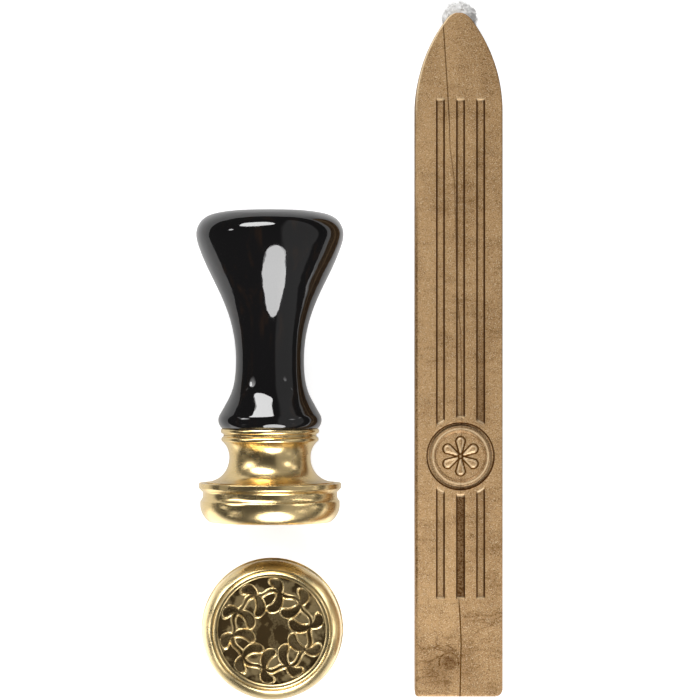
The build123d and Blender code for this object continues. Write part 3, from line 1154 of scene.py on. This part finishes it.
@dataclass(frozen=True)
class Grip:
    """The turned handle with its brass ferrule and threaded insert."""

    axis: TurningAxis
    body: str = "grip"
    foot: float = 16.4
    top: float = 54.8
    bore: tuple[Station, Station] = ((4.55, 29.95), (6.55, 18.45))
    bore_corner: float = 0.1
    foot_radius: float = 8.4
    foot_bead: Station = (9.08, 17.85)
    foot_bead_end: Station = (8.817, 18.84)
    hollow: tuple[Station, ...] = ((7.97, 20.33), (7.48, 21.2), (6.68, 22.96), (6.12, 25.6))
    waist: Station = (5.98, 28.0)
    head: Station = (12.94, 50.5)
    flare: tuple[Station, ...] = ((0.28, 0.10), (0.52, 0.375), (0.77, 0.765), (0.893, 0.926))
    dome: tuple[Station, ...] = ((11.93, 52.96), (8.47, 54.36))
    handle_segments: int = 256
    ferrule_low: float = 15.25
    ferrule_edge: float = 0.2
    ferrule_radius: float = 8.62
    ferrule_widest: float = 16.1
    collar_radius: float = 8.17
    skirt: Station = (6.5, 18.4)
    ferrule_bore: float = 4.55
    ferrule_segments: int = 240

    def handle(self) -> bpy.types.Object:
        """Turns the wooden handle, bored for the insert and the ferrule's skirt.

        Returns:
            The upright piece.
        """
        (deep_radius, deep_top), (skirt_radius, skirt_top) = self.bore
        profile = Profile([(0.0, deep_top)])
        profile.line(
            (deep_radius, deep_top),
            (deep_radius, skirt_top),
            (skirt_radius, skirt_top),
            (skirt_radius, self.foot),
            (self.foot_radius, self.foot),
            rounding=self.bore_corner,
        )
        profile.arc(self.foot_bead, self.foot_bead_end, 18)
        spread, rise = self.head[0] - self.waist[0], self.head[1] - self.waist[1]
        flare = [(self.waist[0] + spread * out, self.waist[1] + rise * up) for up, out in self.flare]
        profile.curve([*self.hollow, self.waist, *flare, self.head], (-0.57, 1.0), (0.0, 1.0), 0.32)
        profile.curve([*self.dome, (0.0, self.top)], (0.0, 1.0), (-1.0, 0.0), 0.25)
        return turned("lacquered_handle", profile, self.handle_segments)

    def ferrule(self) -> bpy.types.Object:
        """Turns the ferrule, a ring with a skirt that reaches into the handle.

        Returns:
            The upright piece.
        """
        low, edge_top = self.ferrule_low, self.ferrule_low + self.ferrule_edge
        profile = Profile([(self.ferrule_bore, low)])
        profile.line((self.collar_radius, low), (self.collar_radius, edge_top), rounding=0.05)
        profile.arc((self.ferrule_radius, self.ferrule_widest), (self.foot_radius, self.foot), 12)
        inner = (self.ferrule_bore, self.skirt[1])
        profile.line((self.skirt[0], self.foot), self.skirt, inner, rounding=0.08)
        return turned("brass_ferrule", profile, self.ferrule_segments)

    def build(self, lacquer: bpy.types.Material, brass: bpy.types.Material) -> None:
        """Makes the pieces and dresses them; the insert's CAD node stays and gets the brass.

        Args:
            lacquer: finish of the handle.
            brass: finish of the ferrule and the insert.
        """
        for piece, node, slot, material in (
            (self.handle(), "handle", Slot.LACQUER, lacquer),
            (self.ferrule(), "handle_ferrule", Slot.BRASS, brass),
        ):
            lay_down(piece, self.axis.matrix())
            hand_over(piece, self.body, [node], material, 45)
        paint_node("handle_insert", brass)


# ------------------------------------------------------------------ wax stick
def quarter_round(radius: float, inset: np.ndarray) -> np.ndarray:
    """How far an edge rounded to the radius falls back at distances in from it."""
    missing = np.clip(radius - inset, 0, radius)
    return radius - np.sqrt(radius**2 - missing**2)


@dataclass(frozen=True)
class WaxPlaces:
    """Where points of the wax stick lie; a distance is less than 0 inside its hollow or petal."""

    x: np.ndarray           # beside the centre line
    rise: np.ndarray        # above the foot
    radius: np.ndarray      # from the medallion's centre
    sides: np.ndarray       # distance to the flutes' side walls
    ends: np.ndarray        # distance to the flutes' end walls
    groove: np.ndarray      # distance to the medallion's groove
    petals: np.ndarray      # distance to the rosette


@dataclass(frozen=True)
class WaxStick:
    """A moulded stick of pearl wax: ogive tip, three flutes, and a medallion with a plain rosette."""

    body: str = "sealing_wax"
    width: float = 15.5
    length: float = 121.0
    thickness: float = 8.0
    ogive_length: float = 17.5
    tip_half_width: float = 1.3
    tip_round: float = 1.1
    tip_fullness: float = 0.93
    foot_corners: Station = (0.6, 1.4)
    foot_recess: float = 0.06
    edge: float = 0.4
    low_edge: float = 0.25
    top_band: float = 1.2           # depth of the upper side with its hollows, for the marks

    flute_half: float = 0.7
    flute_pitch: float = 3.55
    flute_depth: float = 0.6
    flute_span: Station = (17.3, 105.7)
    flute_wall: Station = (-0.12, 0.05)
    motif_shift: float = 0.3
    medallion_height: float = 42.5
    medallion_clear: float = 6.85
    ring: Station = (5.3, 5.98)
    ring_wall: Station = (-0.14, 0.05)
    disc_radius: float = 4.45
    disc_depth: float = 0.35
    disc_wall: Station = (-0.15, 0.05)
    petals: int = 6
    petal_start: float = 0.7
    petal_reach: float = 3.3
    petal_radii: Station = (0.15, 0.7)
    petal_height: float = 0.32
    petal_wall: Station = (-0.30, 0.04)
    wave_height: float = 0.05

    row_step: float = 0.2
    fine_ends: float = 1.0
    columns_across: int = 91
    edge_insets: tuple[float, ...] = (0.0, 0.012, 0.05, 0.11, 0.2, 0.3, 0.42)
    end_insets: tuple[float, ...] = (0.6, 0.8)
    wall_steps: tuple[float, ...] = (-0.1, -0.05, 0.0, 0.05, 0.1)
    wall_clear: float = 0.13        # no other column comes nearer to a wall's own columns

    # painted shade lines: how far they reach, the groove's floor and lines, and the disc's edge
    far: float = 0.6                # distance at which a wall no longer darkens the wax
    groove_floor: float = 5.55
    groove_out: Station = (5.6, 6.6)
    groove_in: Station = (5.1, 5.5)
    groove_in_line: float = 5.33
    disc_line: Station = (0.25, 0.045)
    # painted highlights: on the groove's rims, the flute ends, the petals and the left rim
    bright_rings: tuple[Triple, Triple] = ((4.88, 0.11, 0.6), (5.4, 0.1, 0.3))     # radius, width, strength
    bright_end: Station = (-0.13, 0.15)
    bright_petal: Triple = (-0.16, 0.12, 0.55)
    bright_rim: Triple = (0.22, 0.14, 0.8)
    bright_rim_span: Station = (100.0, 110.0)
    # painted shade along both side edges and in a line along the left edge
    rim_shade: Station = (0.16, 0.04)
    left_line_shade: Station = (0.32, 0.14)
    left_line_shade_foot: Station = (13.0, 20.0)
    left_line_shade_top: Station = (92.0, 76.0)
    deep_seam_foot: Station = (17.5, 15.0)
    deep_seam_tip: Station = (96.0, 104.0)
    seam: tuple[Station, ...] = (
        (-2.9, 121.0), (-2.1, 109.0), (-1.7, 102.0), (-1.55, 97.0), (-0.75, 91.0), (-0.5, 79.0),
        (-0.3, 71.5), (0.35, 64.0), (0.55, 50.0), (0.45, 40.6), (-0.3, 20.5), (0.2, 14.5), (0.4, 9.5),
        (0.2, 0.0),
    )
    flow_lines: tuple[tuple[float, float, float, float, float], ...] = (
        (14.2, 1.0, 0.6, 0.12, 0.5),
        (13.3, 1.0, 0.9, 0.1, 0.35),
        (8.6, 1.0, -0.9, 0.15, 0.3),
        (8.4, -1.0, 0.6, 0.25, 0.5),
        (5.4, -1.0, 0.9, 0.35, 0.6),
        (4.0, -1.0, -0.9, 0.3, 0.45),
        (2.2, -1.0, 0.7, 0.4, 0.5),
    )
    flow_width: float = 0.16
    flow_left: Triple = (-3.4, 5.6, 0.62)          # place, height above the foot, strength
    flow_left_fade: Station = (6.5, 2.0)
    flow_right: Triple = (4.0, 13.0, 0.3)
    flow_right_fade: Station = (5.0, 2.0)
    cloud: Triple = (-3.6, 4.2, 0.4)
    cloud_fade: Station = (5.2, 1.0)
    crescent: Triple = (-1.75, 6.0, 1.75)

    def half_widths(self, rise: np.ndarray) -> list[np.ndarray]:
        """Half widths of the outline.

        Args:
            rise: heights above the foot.

        Returns:
            The half widths to the left and to the right.
        """
        half = self.width / 2
        spread = half - self.tip_half_width
        ogive_radius = (self.ogive_length**2 + spread**2) / (2 * spread)
        into = np.clip(rise - (self.length - self.ogive_length), 0, None)
        side = half - (ogive_radius - np.sqrt(ogive_radius**2 - into**2))
        side = side - quarter_round(self.tip_round, self.length - rise) * self.tip_fullness
        return [side - quarter_round(corner, rise) for corner in self.foot_corners]

    def columns(self) -> np.ndarray:
        """Places of the mesh's columns across the stick, closer at the edges and the flutes' walls.

        Returns:
            The places, from -1 at the left edge to 1 at the right one.
        """
        half = self.width / 2
        places = set(np.round(np.linspace(-half, half, self.columns_across), 3))
        for flute in (-1, 0, 1):
            for wall in (-self.flute_half, self.flute_half):
                middle = self.motif_shift + flute * self.flute_pitch + wall
                places = {p for p in places if abs(p - middle) > self.wall_clear}
                places |= {round(middle + step, 3) for step in self.wall_steps}
        places = {p for p in places if abs(p) < half - self.edge_insets[-1] - 0.03}
        for inset in self.edge_insets:
            places |= {-half + inset, half - inset}
        return np.array(sorted(places)) / half

    def rows(self) -> np.ndarray:
        """Heights of the mesh's rows above the foot, closer at both ends.

        Returns:
            The heights.
        """
        ends = np.array(self.edge_insets + self.end_insets)
        count = round((self.length - 2 * self.fine_ends) / self.row_step)
        between = np.linspace(self.fine_ends, self.length - self.fine_ends, count)
        return np.concatenate((ends, between, self.length - ends[::-1]))

    def places(self, x: np.ndarray, rise: np.ndarray) -> WaxPlaces:
        """Measures points against the flutes and the medallion.

        Args:
            x: places beside the stick's centre line.
            rise: heights above the foot.

        Returns:
            The distances.
        """
        middle, up = x - self.motif_shift, rise - self.medallion_height
        radius = np.hypot(middle, up)
        across = np.abs((middle + self.flute_pitch * 1.5) % self.flute_pitch - self.flute_pitch / 2)
        sides = np.maximum(across, np.abs(middle) - self.flute_pitch) - self.flute_half
        low, high = self.flute_span
        ends = np.maximum.reduce([low - rise, rise - high, self.medallion_clear - radius])
        inner, outer = self.ring
        groove = np.abs(radius - (inner + outer) / 2) - (outer - inner) / 2
        sector = math.tau / self.petals
        angle = (np.arctan2(middle, up) + sector / 2) % sector - sector / 2
        root, tip = self.petal_radii
        length = self.petal_reach - tip - self.petal_start
        along = radius * np.cos(angle) - self.petal_start
        share = np.clip(along / length, 0, 1)
        petals = np.hypot(radius * np.sin(angle), along - share * length) - (root + (tip - root) * share)
        return WaxPlaces(x, rise, radius, sides, ends, groove, petals)

    def surface(self, at: WaxPlaces, inset: np.ndarray) -> np.ndarray:
        """Height of the upper side.

        Args:
            at: the points.
            inset: their distances from the outline.

        Returns:
            Heights above the table.
        """
        level = self.thickness - quarter_round(self.edge, inset)
        for distance, wall, depth in (
            (np.maximum(at.sides, at.ends), self.flute_wall, self.flute_depth),
            (at.groove, self.ring_wall, self.flute_depth),
            (at.radius - self.disc_radius, self.disc_wall, self.disc_depth),
            (at.petals, self.petal_wall, -self.petal_height),
        ):
            level = level - depth * (1 - smooth(*wall, distance))
        waves = 0.5 * np.sin(at.rise * 0.21 + at.x * 0.3) + 0.3 * np.sin(at.rise * 0.53 - at.x * 0.6 + 1.3)
        return level - self.wave_height * (0.8 + waves) * smooth(0.0, 0.5, inset)

    def build(self, material: bpy.types.Material) -> None:
        """Makes the stick from a grid, closes it below and dresses it.

        Args:
            material: its finish.
        """
        low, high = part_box("wax_stick")
        centre, foot = (low.x + high.x) / 2 / MM, low.y / MM + self.foot_recess
        columns, rows = self.columns(), self.rows()
        across, along = len(columns) - 1, len(rows) - 1
        bpy.ops.object.select_all(action="DESELECT")
        bpy.ops.mesh.primitive_grid_add(x_subdivisions=across, y_subdivisions=along, size=2.0)
        piece = bpy.context.object
        piece.name = "wax_body"
        grid = points_of(piece) * MM
        share = columns[np.rint((grid[:, 0] + 1) / 2 * across).astype(int)]
        rise = rows[np.rint((grid[:, 1] + 1) / 2 * along).astype(int)]
        half = np.where(share < 0, *self.half_widths(rise))
        x = share * half
        inset = np.minimum.reduce([(1 - np.abs(share)) * half, rise, self.length - rise])
        level = self.surface(self.places(x, rise), inset)
        shortened = rise * (self.length - self.foot_recess) / self.length
        move_points(piece, np.stack((centre + x, foot + shortened, level), axis=1))
        self._close(piece)
        self._mark(piece, centre, foot)
        hand_over(piece, self.body, ["wax_stick"], material, 50)

    def _close(self, piece: bpy.types.Object) -> None:
        """Extrudes the outline down to the table and fills the underside.

        Args:
            piece: the upper side.
        """
        only(piece)
        bpy.ops.object.mode_set(mode="EDIT")
        bpy.ops.mesh.select_mode(type="EDGE")
        bpy.ops.mesh.select_all(action="SELECT")
        bpy.ops.mesh.region_to_loop()
        middle = (self.thickness - self.edge) / 2
        for drop in (middle, middle - self.low_edge, self.low_edge):
            bpy.ops.mesh.extrude_edges_move(TRANSFORM_OT_translate={"value": (0, 0, -drop * MM)})
        bpy.ops.mesh.edge_face_add()
        bpy.ops.mesh.quads_convert_to_tris()
        weld()
        points = points_of(piece)
        points[points[:, 2] < self.low_edge / 2, 2] = 0.0
        move_points(piece, points)

    def _mark(self, piece: bpy.types.Object, centre: float, foot: float) -> None:
        """Stores what the finish reads: painted shade along walls, the seam, painted highlights on edges,
        stains with painted shade along the side edges, and cold flow.

        Args:
            piece: the closed stick.
            centre: place of its centre line.
            foot: place of its foot.
        """
        points = points_of(piece)
        at = self.places(points[:, 0] - centre, points[:, 1] - foot)
        x, rise = at.x, at.rise
        left, right = self.half_widths(rise)
        seam_rise, seam_x = np.array(self.seam[::-1]).T[::-1]
        depth = 0.6 + 0.6 * smooth(*self.deep_seam_foot, rise) + 0.3 * smooth(*self.deep_seam_tip, rise)
        (x_left, low, much), (x_right, high, little) = self.flow_left, self.flow_right
        flow = much * smooth(*self.flow_left_fade, np.hypot(x - x_left, (rise - low) * 0.8))
        flow += little * smooth(*self.flow_right_fade, np.hypot(x - x_right, rise - high))
        top = points[:, 2] > self.thickness - self.top_band
        store(piece, "seam_depth", depth)
        for name, values, elsewhere in (
            ("wall", self._wall_shade_distances(at), self.far),
            ("seam", x - np.interp(rise, seam_rise, seam_x), 9.0),
            ("painted_edge_highlight", self._painted_highlights(at, left), 0.0),
            ("stains_and_shade", self._stains_and_edge_shade(at, left, right), 0.5),
            ("flow", np.clip(flow, 0.0, 1.0), 0.0),
        ):
            store(piece, name, np.where(top, values, elsewhere))

    def _wall_shade_distances(self, at: WaxPlaces) -> np.ndarray:
        """Distances to the lines that the finish darkens with painted shade: walls, petals and the disc's
        edge.

        Args:
            at: the points.

        Returns:
            The distances.
        """
        radius, outer = at.radius, self.ring[1]
        reach, gap = self.disc_line
        from_disc = np.abs(radius - self.disc_radius)
        wall = np.minimum(np.where(at.ends < 0.0, at.sides, self.far), radius - outer + 0.02)
        wall = np.where(radius > self.groove_floor, wall, -self.far)
        for place, line in (
            ((radius > self.groove_out[0]) & (radius < self.groove_out[1]), (radius - outer) * 1.35 + 0.02),
            (
                (radius > self.groove_in[0]) & (radius < self.groove_in[1]),
                np.abs(radius - self.groove_in_line) + 0.10,
            ),
            ((radius < self.disc_radius) & (at.petals > -0.05), 0.1 - at.petals),
            (from_disc < reach, from_disc + gap),
        ):
            wall = np.where(place, line, wall)
        return np.clip(wall, -self.far, self.far)

    def _painted_highlights(self, at: WaxPlaces, left: np.ndarray) -> np.ndarray:
        """Painted highlights on edges that catch the light: flute ends, both rims of the groove, petals and
        the left rim.

        Args:
            at: the points.
            left: half widths to the left.

        Returns:
            Brightness from 0 to 1.
        """
        (end, end_width), (rim, rim_width, rim_strength) = self.bright_end, self.bright_rim
        petal, petal_width, petal_strength = self.bright_petal
        rings = [much * streak(at.radius - radius, width) for radius, width, much in self.bright_rings]
        ends = streak(at.ends - end, end_width) * (at.sides < 0.0)
        petals = petal_strength * streak(at.petals - petal, petal_width) * (at.radius < self.disc_radius)
        edge = rim_strength * streak(at.x + left - rim, rim_width) * smooth(*self.bright_rim_span, at.rise)
        return np.maximum.reduce([ends, sum(rings), petals, edge])

    def _stains_and_edge_shade(self, at: WaxPlaces, left: np.ndarray, right: np.ndarray) -> np.ndarray:
        """Brown marks: flute floors, wavy lines and a crescent near the foot; and painted shade: darker side
        edges and a dark line along the left edge.

        Args:
            at: the points.
            left: half widths to the left.
            right: half widths to the right.

        Returns:
            Strength of the marks.
        """
        x, rise = at.x, at.rise
        middle = x - self.motif_shift
        in_flute = (at.sides < -0.02) & (at.ends < 0.0)
        low_middle = in_flute & (np.abs(middle) < 1.0) & (rise < self.medallion_height)
        high_right = in_flute & (middle > 2.0) & (rise > self.medallion_height)
        marks = [0.75 * low_middle + 0.45 * high_right * smooth(70.0, 50.0, rise)]
        for height, side, bow, sway, strength in self.flow_lines:
            line = height + bow * (x / self.width * 2) ** 2 + sway * np.sin(x * 1.7 + height)
            marks.append(strength * streak(rise - line, self.flow_width) * smooth(0.0, 0.8, x * side - 0.6))
        mark_x, mark_rise, mark_radius = self.crescent
        away = np.hypot(x - mark_x, rise - mark_rise)
        marks.append(streak(away - mark_radius, self.flow_width) * (rise > mark_rise - 0.4))
        marks.append(0.7 * smooth(mark_radius, mark_radius * 0.4, away))
        cloud_x, cloud_rise, strength = self.cloud
        away = np.hypot(x - cloud_x, (rise - cloud_rise) * 1.1)
        marks.append(strength * smooth(*self.cloud_fade, away))
        # painted shade: darker along both side edges and in a line along the left edge
        marks.append(0.5 * smooth(*self.rim_shade, np.minimum(x + left, right - x)))
        inset, width = self.left_line_shade
        left_line_shade = streak(x + left - inset, width) * smooth(*self.left_line_shade_top, rise)
        marks.append(left_line_shade * (0.45 + 0.45 * smooth(*self.left_line_shade_foot, rise)))
        return np.maximum.reduce(marks)


@dataclass(frozen=True)
class Wick:
    """A cotton wick through the stick, cut flush at the foot and frayed into a tuft at the tip."""

    body: str = "sealing_wax"
    radius: float = 1.0
    end_share: float = 0.9          # the cord's radius at its ends and along it, in shares of that radius
    wall_share: float = 0.97
    end_round: float = 0.08
    core_rows: int = 120
    core_segments: int = 30
    twist: float = 1.1
    ply_depth: float = 0.07
    tuft: Triple = (3.45, 3.3, 2.3)
    tuft_out: Station = (0.45, 0.8)
    heart: float = 0.84             # size of the dense ball, in shares of the tuft's half sizes
    fibres: int = 1100
    fibre_radius: float = 0.05
    fibre_root: float = 0.74        # where the fibres start, in shares of the tuft's half sizes
    fibre_steps: int = 6
    fibre_taper: float = 0.7
    fibre_lengths: Station = (0.5, 1.25)
    fibre_bends: Station = (0.4, 1.6)
    seed: int = 7

    def build(self, material: bpy.types.Material) -> None:
        """Makes the core and the tuft and dresses them as one piece.

        Args:
            material: its finish.
        """
        low, high = (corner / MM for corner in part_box("wick"))
        wax_low, wax_high = (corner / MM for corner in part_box("wax_stick"))
        centre = (low + high) / 2
        foot = Vector(((wax_low.x + wax_high.x) / 2, low.y, centre.z))
        end = high.y - self.tuft[1]
        right, ahead = self.tuft_out
        tuft_middle = Vector((centre.x + right, end + ahead, centre.z))
        pieces = [self._core(foot, end - foot.y), self._ball(tuft_middle), *self._fibres(tuft_middle)]
        piece = join(pieces, "cotton_wick")
        hand_over(piece, self.body, ["wick"], material, 70)

    def _core(self, foot: Vector, length: float) -> bpy.types.Object:
        """The plied cord inside the stick.

        Args:
            foot: its lower end.
            length: its length.

        Returns:
            The cord.
        """
        ends, wall = self.radius * self.end_share, self.radius * self.wall_share
        straight = length - 2 * self.end_round
        profile = Profile([(0.0, 0.0), (ends, 0.0)])
        for row in range(self.core_rows + 1):
            profile.stations.append((wall, self.end_round + straight * row / self.core_rows))
        profile.stations += [(ends, length), (0.0, length)]
        core = turned("wick_core", profile, self.core_segments)
        points = points_of(core)
        turn = np.arctan2(points[:, 1], points[:, 0]) + points[:, 2] * self.twist
        plies = 1 - self.ply_depth + self.ply_depth * np.abs(np.cos(turn * 1.5))
        points[:, :2] *= plies[:, None]
        move_points(core, points)
        lay_down(core, Matrix.Translation(foot * MM) @ Matrix.Rotation(-math.pi / 2, 4, "X"))
        return core

    def _ball(self, middle: Vector) -> bpy.types.Object:
        """The dense heart of the tuft.

        Args:
            middle: its centre.

        Returns:
            A lumpy ball.
        """
        bpy.ops.object.select_all(action="DESELECT")
        bpy.ops.mesh.primitive_ico_sphere_add(subdivisions=5, radius=MM)
        ball = bpy.context.object
        points = points_of(ball)
        x, y, z = points.T
        lumps = (
            0.13 * np.sin(x * 5.1 + 0.6) * np.sin(y * 4.3 + 2.0)
            + 0.09 * np.sin(y * 9.3) * np.sin(z * 8.1 + x * 6.0)
            + 0.04 * np.sin(x * 23.0 + y * 17.0) * np.sin(z * 21.0)
        )
        move_points(ball, points * (self.heart + lumps * 0.5)[:, None] * np.array(self.tuft))
        lay_down(ball, Matrix.Translation(middle * MM))
        return ball

    def _fibre(self) -> bpy.types.Object:
        """One straight fibre, 1 mm long, of which the others are bent copies.

        Returns:
            The fibre.
        """
        bpy.ops.object.select_all(action="DESELECT")
        bpy.ops.mesh.primitive_circle_add(vertices=3, radius=self.fibre_radius * MM, fill_type="NGON")
        fibre = bpy.context.object
        bpy.ops.object.mode_set(mode="EDIT")
        bpy.ops.mesh.select_all(action="SELECT")
        for _ in range(self.fibre_steps):
            bpy.ops.mesh.extrude_region_move(TRANSFORM_OT_translate={"value": (0, 0, MM / self.fibre_steps)})
        weld()
        return fibre

    def _fibres(self, middle: Vector) -> list[bpy.types.Object]:
        """Fine loose fibres that stand out of the tuft, each bent its own way.

        Args:
            middle: the tuft's centre.

        Returns:
            The fibres.
        """
        draw = random.Random(self.seed)
        model = self._fibre()
        x, y, t = points_of(model).T
        taper = 1 - self.fibre_taper * t
        made = []
        for _ in range(self.fibres):
            out = Vector((draw.gauss(0, 1), draw.gauss(0, 1), draw.gauss(0, 1))).normalized()
            side = out.orthogonal().normalized()
            side.rotate(Matrix.Rotation(draw.uniform(0, math.tau), 3, out))
            other = out.cross(side)
            length, bend = draw.uniform(*self.fibre_lengths), draw.uniform(*self.fibre_bends)
            root = middle + Vector([o * size * self.fibre_root for o, size in zip(out, self.tuft)])
            along = length * np.sin(bend * t) / bend
            aside = length * (1 - np.cos(bend * t)) / bend + x * taper
            points = np.outer(along, out) + np.outer(aside, side) + np.outer(y * taper, other)
            fibre = model.copy()
            fibre.data = model.data.copy()
            bpy.context.scene.collection.objects.link(fibre)
            move_points(fibre, points + np.array(root))
            made.append(fibre)
        bpy.data.objects.remove(model)
        return made


# ------------------------------------------------------------------ studio
@dataclass(frozen=True)
class Softbox:
    """An oval lamp, placed by its direction from the point that it faces.

    A spread under 180 degrees keeps its light near that point. Sizes are half angles seen from there.
    """

    name: str
    tilt: float
    sideways: float
    half_height: float
    half_width: float
    radiance: float
    distance: float = 0.75
    aim: Station = (0.0, 0.0)
    spread: float = 180.0

    def build(self) -> None:
        """Adds the lamp, facing the set."""
        tilt, side = math.radians(self.tilt), math.radians(self.sideways)
        away = Vector((math.sin(side), math.sin(tilt) * math.cos(side), math.cos(tilt) * math.cos(side)))
        across = (Vector((1, 0, 0)) - away * away.x).normalized()
        width = 2 * self.distance * math.tan(math.radians(self.half_width))
        height = 2 * self.distance * math.tan(math.radians(self.half_height))
        place = Vector((*self.aim, 0)) * MM + away * self.distance
        bpy.ops.object.light_add(type="AREA", location=place)
        lamp = bpy.context.object
        lamp.name = self.name
        lamp.rotation_euler = Matrix((across, away.cross(across), away)).transposed().to_euler()
        lamp.data.shape = "ELLIPSE"
        lamp.data.size, lamp.data.size_y = width, height
        cone = math.radians(self.spread) / 2
        focus = 1 - cone / math.tan(cone)
        lamp.data.spread = 2 * cone
        lamp.data.energy = self.radiance * math.pi * (math.pi / 4 * width * height) * focus


@dataclass(frozen=True)
class Studio:
    """Pale table, lamps, surroundings and the camera above the set."""

    camera_height: float = 0.70
    camera_forward: float = 0.00015
    lens: float = 201.4
    sensor: float = 36.0
    table_size: tuple[float, float, float, float] = (-0.082, 0.084, -0.095, 0.095)
    table: Colour = (0.56, 0.56, 0.56)
    table_fibre: float = 0.97
    table_grain: Triple = (0.6, 0.3, 0.01)         # size, strength and height of the paper's grain
    table_roughness: float = 0.7
    glow: float = 0.80
    glow_in_gloss: float = 0.08
    glow_forward: float = 0.90
    glow_starts: Station = (-31.0, -40.0)
    glow_ends: Station = (-74.0, -58.0)
    fill: float = 0.10
    ceiling: float = 0.06
    panel: float = 0.31
    panel_x: Station = (0.26, 0.38)
    panel_z: Station = (0.10, 0.16)
    lamps: tuple[Softbox, ...] = (
        Softbox("softbox_near", -57.0, 6.0, 22.5, 18.5, 10.0),
        Softbox("softbox_far", 52.5, -17.0, 10.2, 22.5, 12.6),
        Softbox("kicker_left", 34.0, -58.0, 3.0, 4.0, 9.0),
        Softbox("grid_left_far", 43.0, -50.0, 11.0, 18.0, 8.0, 0.13, (-13.7, -54.0), 33.0),
        Softbox("grid_left_near", -36.0, -54.0, 10.0, 18.0, 7.0, 0.13, (-13.7, -57.0), 29.0),
        Softbox("grid_right_far", 36.0, 46.0, 10.0, 15.0, 8.0, 0.13, (-13.7, -57.0), 28.0),
        Softbox("grid_right_near", -22.0, 52.0, 10.0, 15.0, 7.0, 0.13, (-13.7, -57.0), 29.0),
        *(
            Softbox(f"strip_{name}", tilt, sideways, *half_sizes, 7.5, 0.13, (-13.7, -56.0), 24.0)
            for name, tilt, sideways, half_sizes in (
                ("left", 0.0, -75.0, (12.0, 9.0)),
                ("left_far", 65.0, -52.0, (10.0, 10.0)),
                ("left_near", -65.0, -52.0, (10.0, 10.0)),
                ("right", 0.0, 75.0, (12.0, 9.0)),
                ("right_far", 65.0, 52.0, (10.0, 10.0)),
            )
        ),
    )

    def build(self) -> None:
        """Sets the table, the lamps, the surroundings and the camera."""
        bpy.context.scene.view_settings.view_transform = "Standard"
        self._table()
        for lamp in self.lamps:
            lamp.build()
        self._world()
        bpy.ops.object.camera_add(location=(0, self.camera_forward, self.camera_height))
        camera = bpy.context.object
        camera.data.lens = self.lens
        camera.data.sensor_width = self.sensor
        camera.data.clip_start, camera.data.clip_end = 0.05, 10.0
        bpy.context.scene.camera = camera

    def _table(self) -> None:
        """The pale table: it glows to the camera, and to reflections most where the loose head lies."""
        bpy.ops.object.select_all(action="DESELECT")
        left, right, near, far = self.table_size
        bpy.ops.mesh.primitive_plane_add(size=1.0, location=((left + right) / 2, (near + far) / 2, 0))
        table = bpy.context.object
        table.name = "table"
        table.scale = (right - left, far - near, 1.0)
        lay_down(table)
        graph = Surface("pale_table")
        size, strength, height = self.table_grain
        paper = graph.noise(size, 3.0)
        shaded = tuple(part * self.table_fibre for part in self.table)
        colour = graph.blend(paper * strength, self.table, shaded)
        graph.relief(paper, height)
        y = graph.parts(graph.position())[1]
        (start, full), (end, fade) = self.glow_starts, self.glow_ends
        forward = y.eased(start * MM, full * MM) * y.eased(end * MM, fade * MM) * self.glow_forward
        gloss = graph.ray("Glossy").at_least(graph.ray("Transmission")) * (forward + self.glow_in_gloss)
        glow = graph.blend(graph.ray("Camera"), graph.blend(gloss, BLACK, WHITE), (self.glow,) * 3)
        material = graph.finish(
            colour, self.table_roughness, Emission_Color=glow, Emission_Strength=1.0, Specular_IOR_Level=0.2
        )
        table.data.materials.append(material)

    def _world(self) -> None:
        """White to the camera, a dark ceiling with one pale panel to reflections, a soft fill otherwise."""
        world = bpy.data.worlds.new("studio")
        bpy.context.scene.world = world
        world.use_nodes = True
        graph = Graph(world.node_tree)
        x, _, z = graph.parts(graph.node("ShaderNodeTexCoord").outputs["Generated"])
        camera = graph.ray("Camera")
        panel = x.eased(*self.panel_x) * z.eased(*self.panel_z)
        seen = graph.blend((panel * self.panel + self.ceiling + camera).at_most(1.0), BLACK, WHITE)
        shown = graph.node("ShaderNodeBackground", inputs={"Color": seen})
        fill = graph.node("ShaderNodeBackground", inputs={"Color": WHITE, "Strength": self.fill})
        factor = camera.at_least(graph.ray("Glossy")).at_least(graph.ray("Transmission"))
        both = graph.node("ShaderNodeMixShader", inputs={0: factor, 1: fill.outputs[0], 2: shown.outputs[0]})
        graph.node("ShaderNodeOutputWorld", inputs={"Surface": both.outputs[0]})


def main() -> None:
    """Builds the studio and every piece of the set in order."""
    logging.basicConfig(level=logging.INFO, format="%(asctime)s %(message)s")
    stamp, loose = stamp_axis(), loose_axis()
    brass, loose_brass = Brass(), Brass(bright=(0.86, 0.685, 0.37), roughness=0.24)
    Studio().build()
    stamp_brass = brass.material("stamp_brass", stamp, False)
    SealHead(stamp, "seal_head").build(
        "", ("head_neck", "head_die"), brass.material("stamp_die_brass", stamp, True), stamp_brass
    )
    Stud(stamp).build(Steel().material("stud_steel"))
    Grip(stamp).build(BlackLacquer().material("black_lacquer"), stamp_brass)
    SealHead(loose, "spare_head").build(
        "loose_",
        ("loose_neck", "loose_die"),
        loose_brass.material("loose_die_brass", loose, True),
        brass.material("loose_brass", loose, False),
    )
    WaxStick().build(GoldWax().material("gold_wax"))
    Wick().build(Cotton().material("cotton"))


if __name__ == "__main__":
    main()
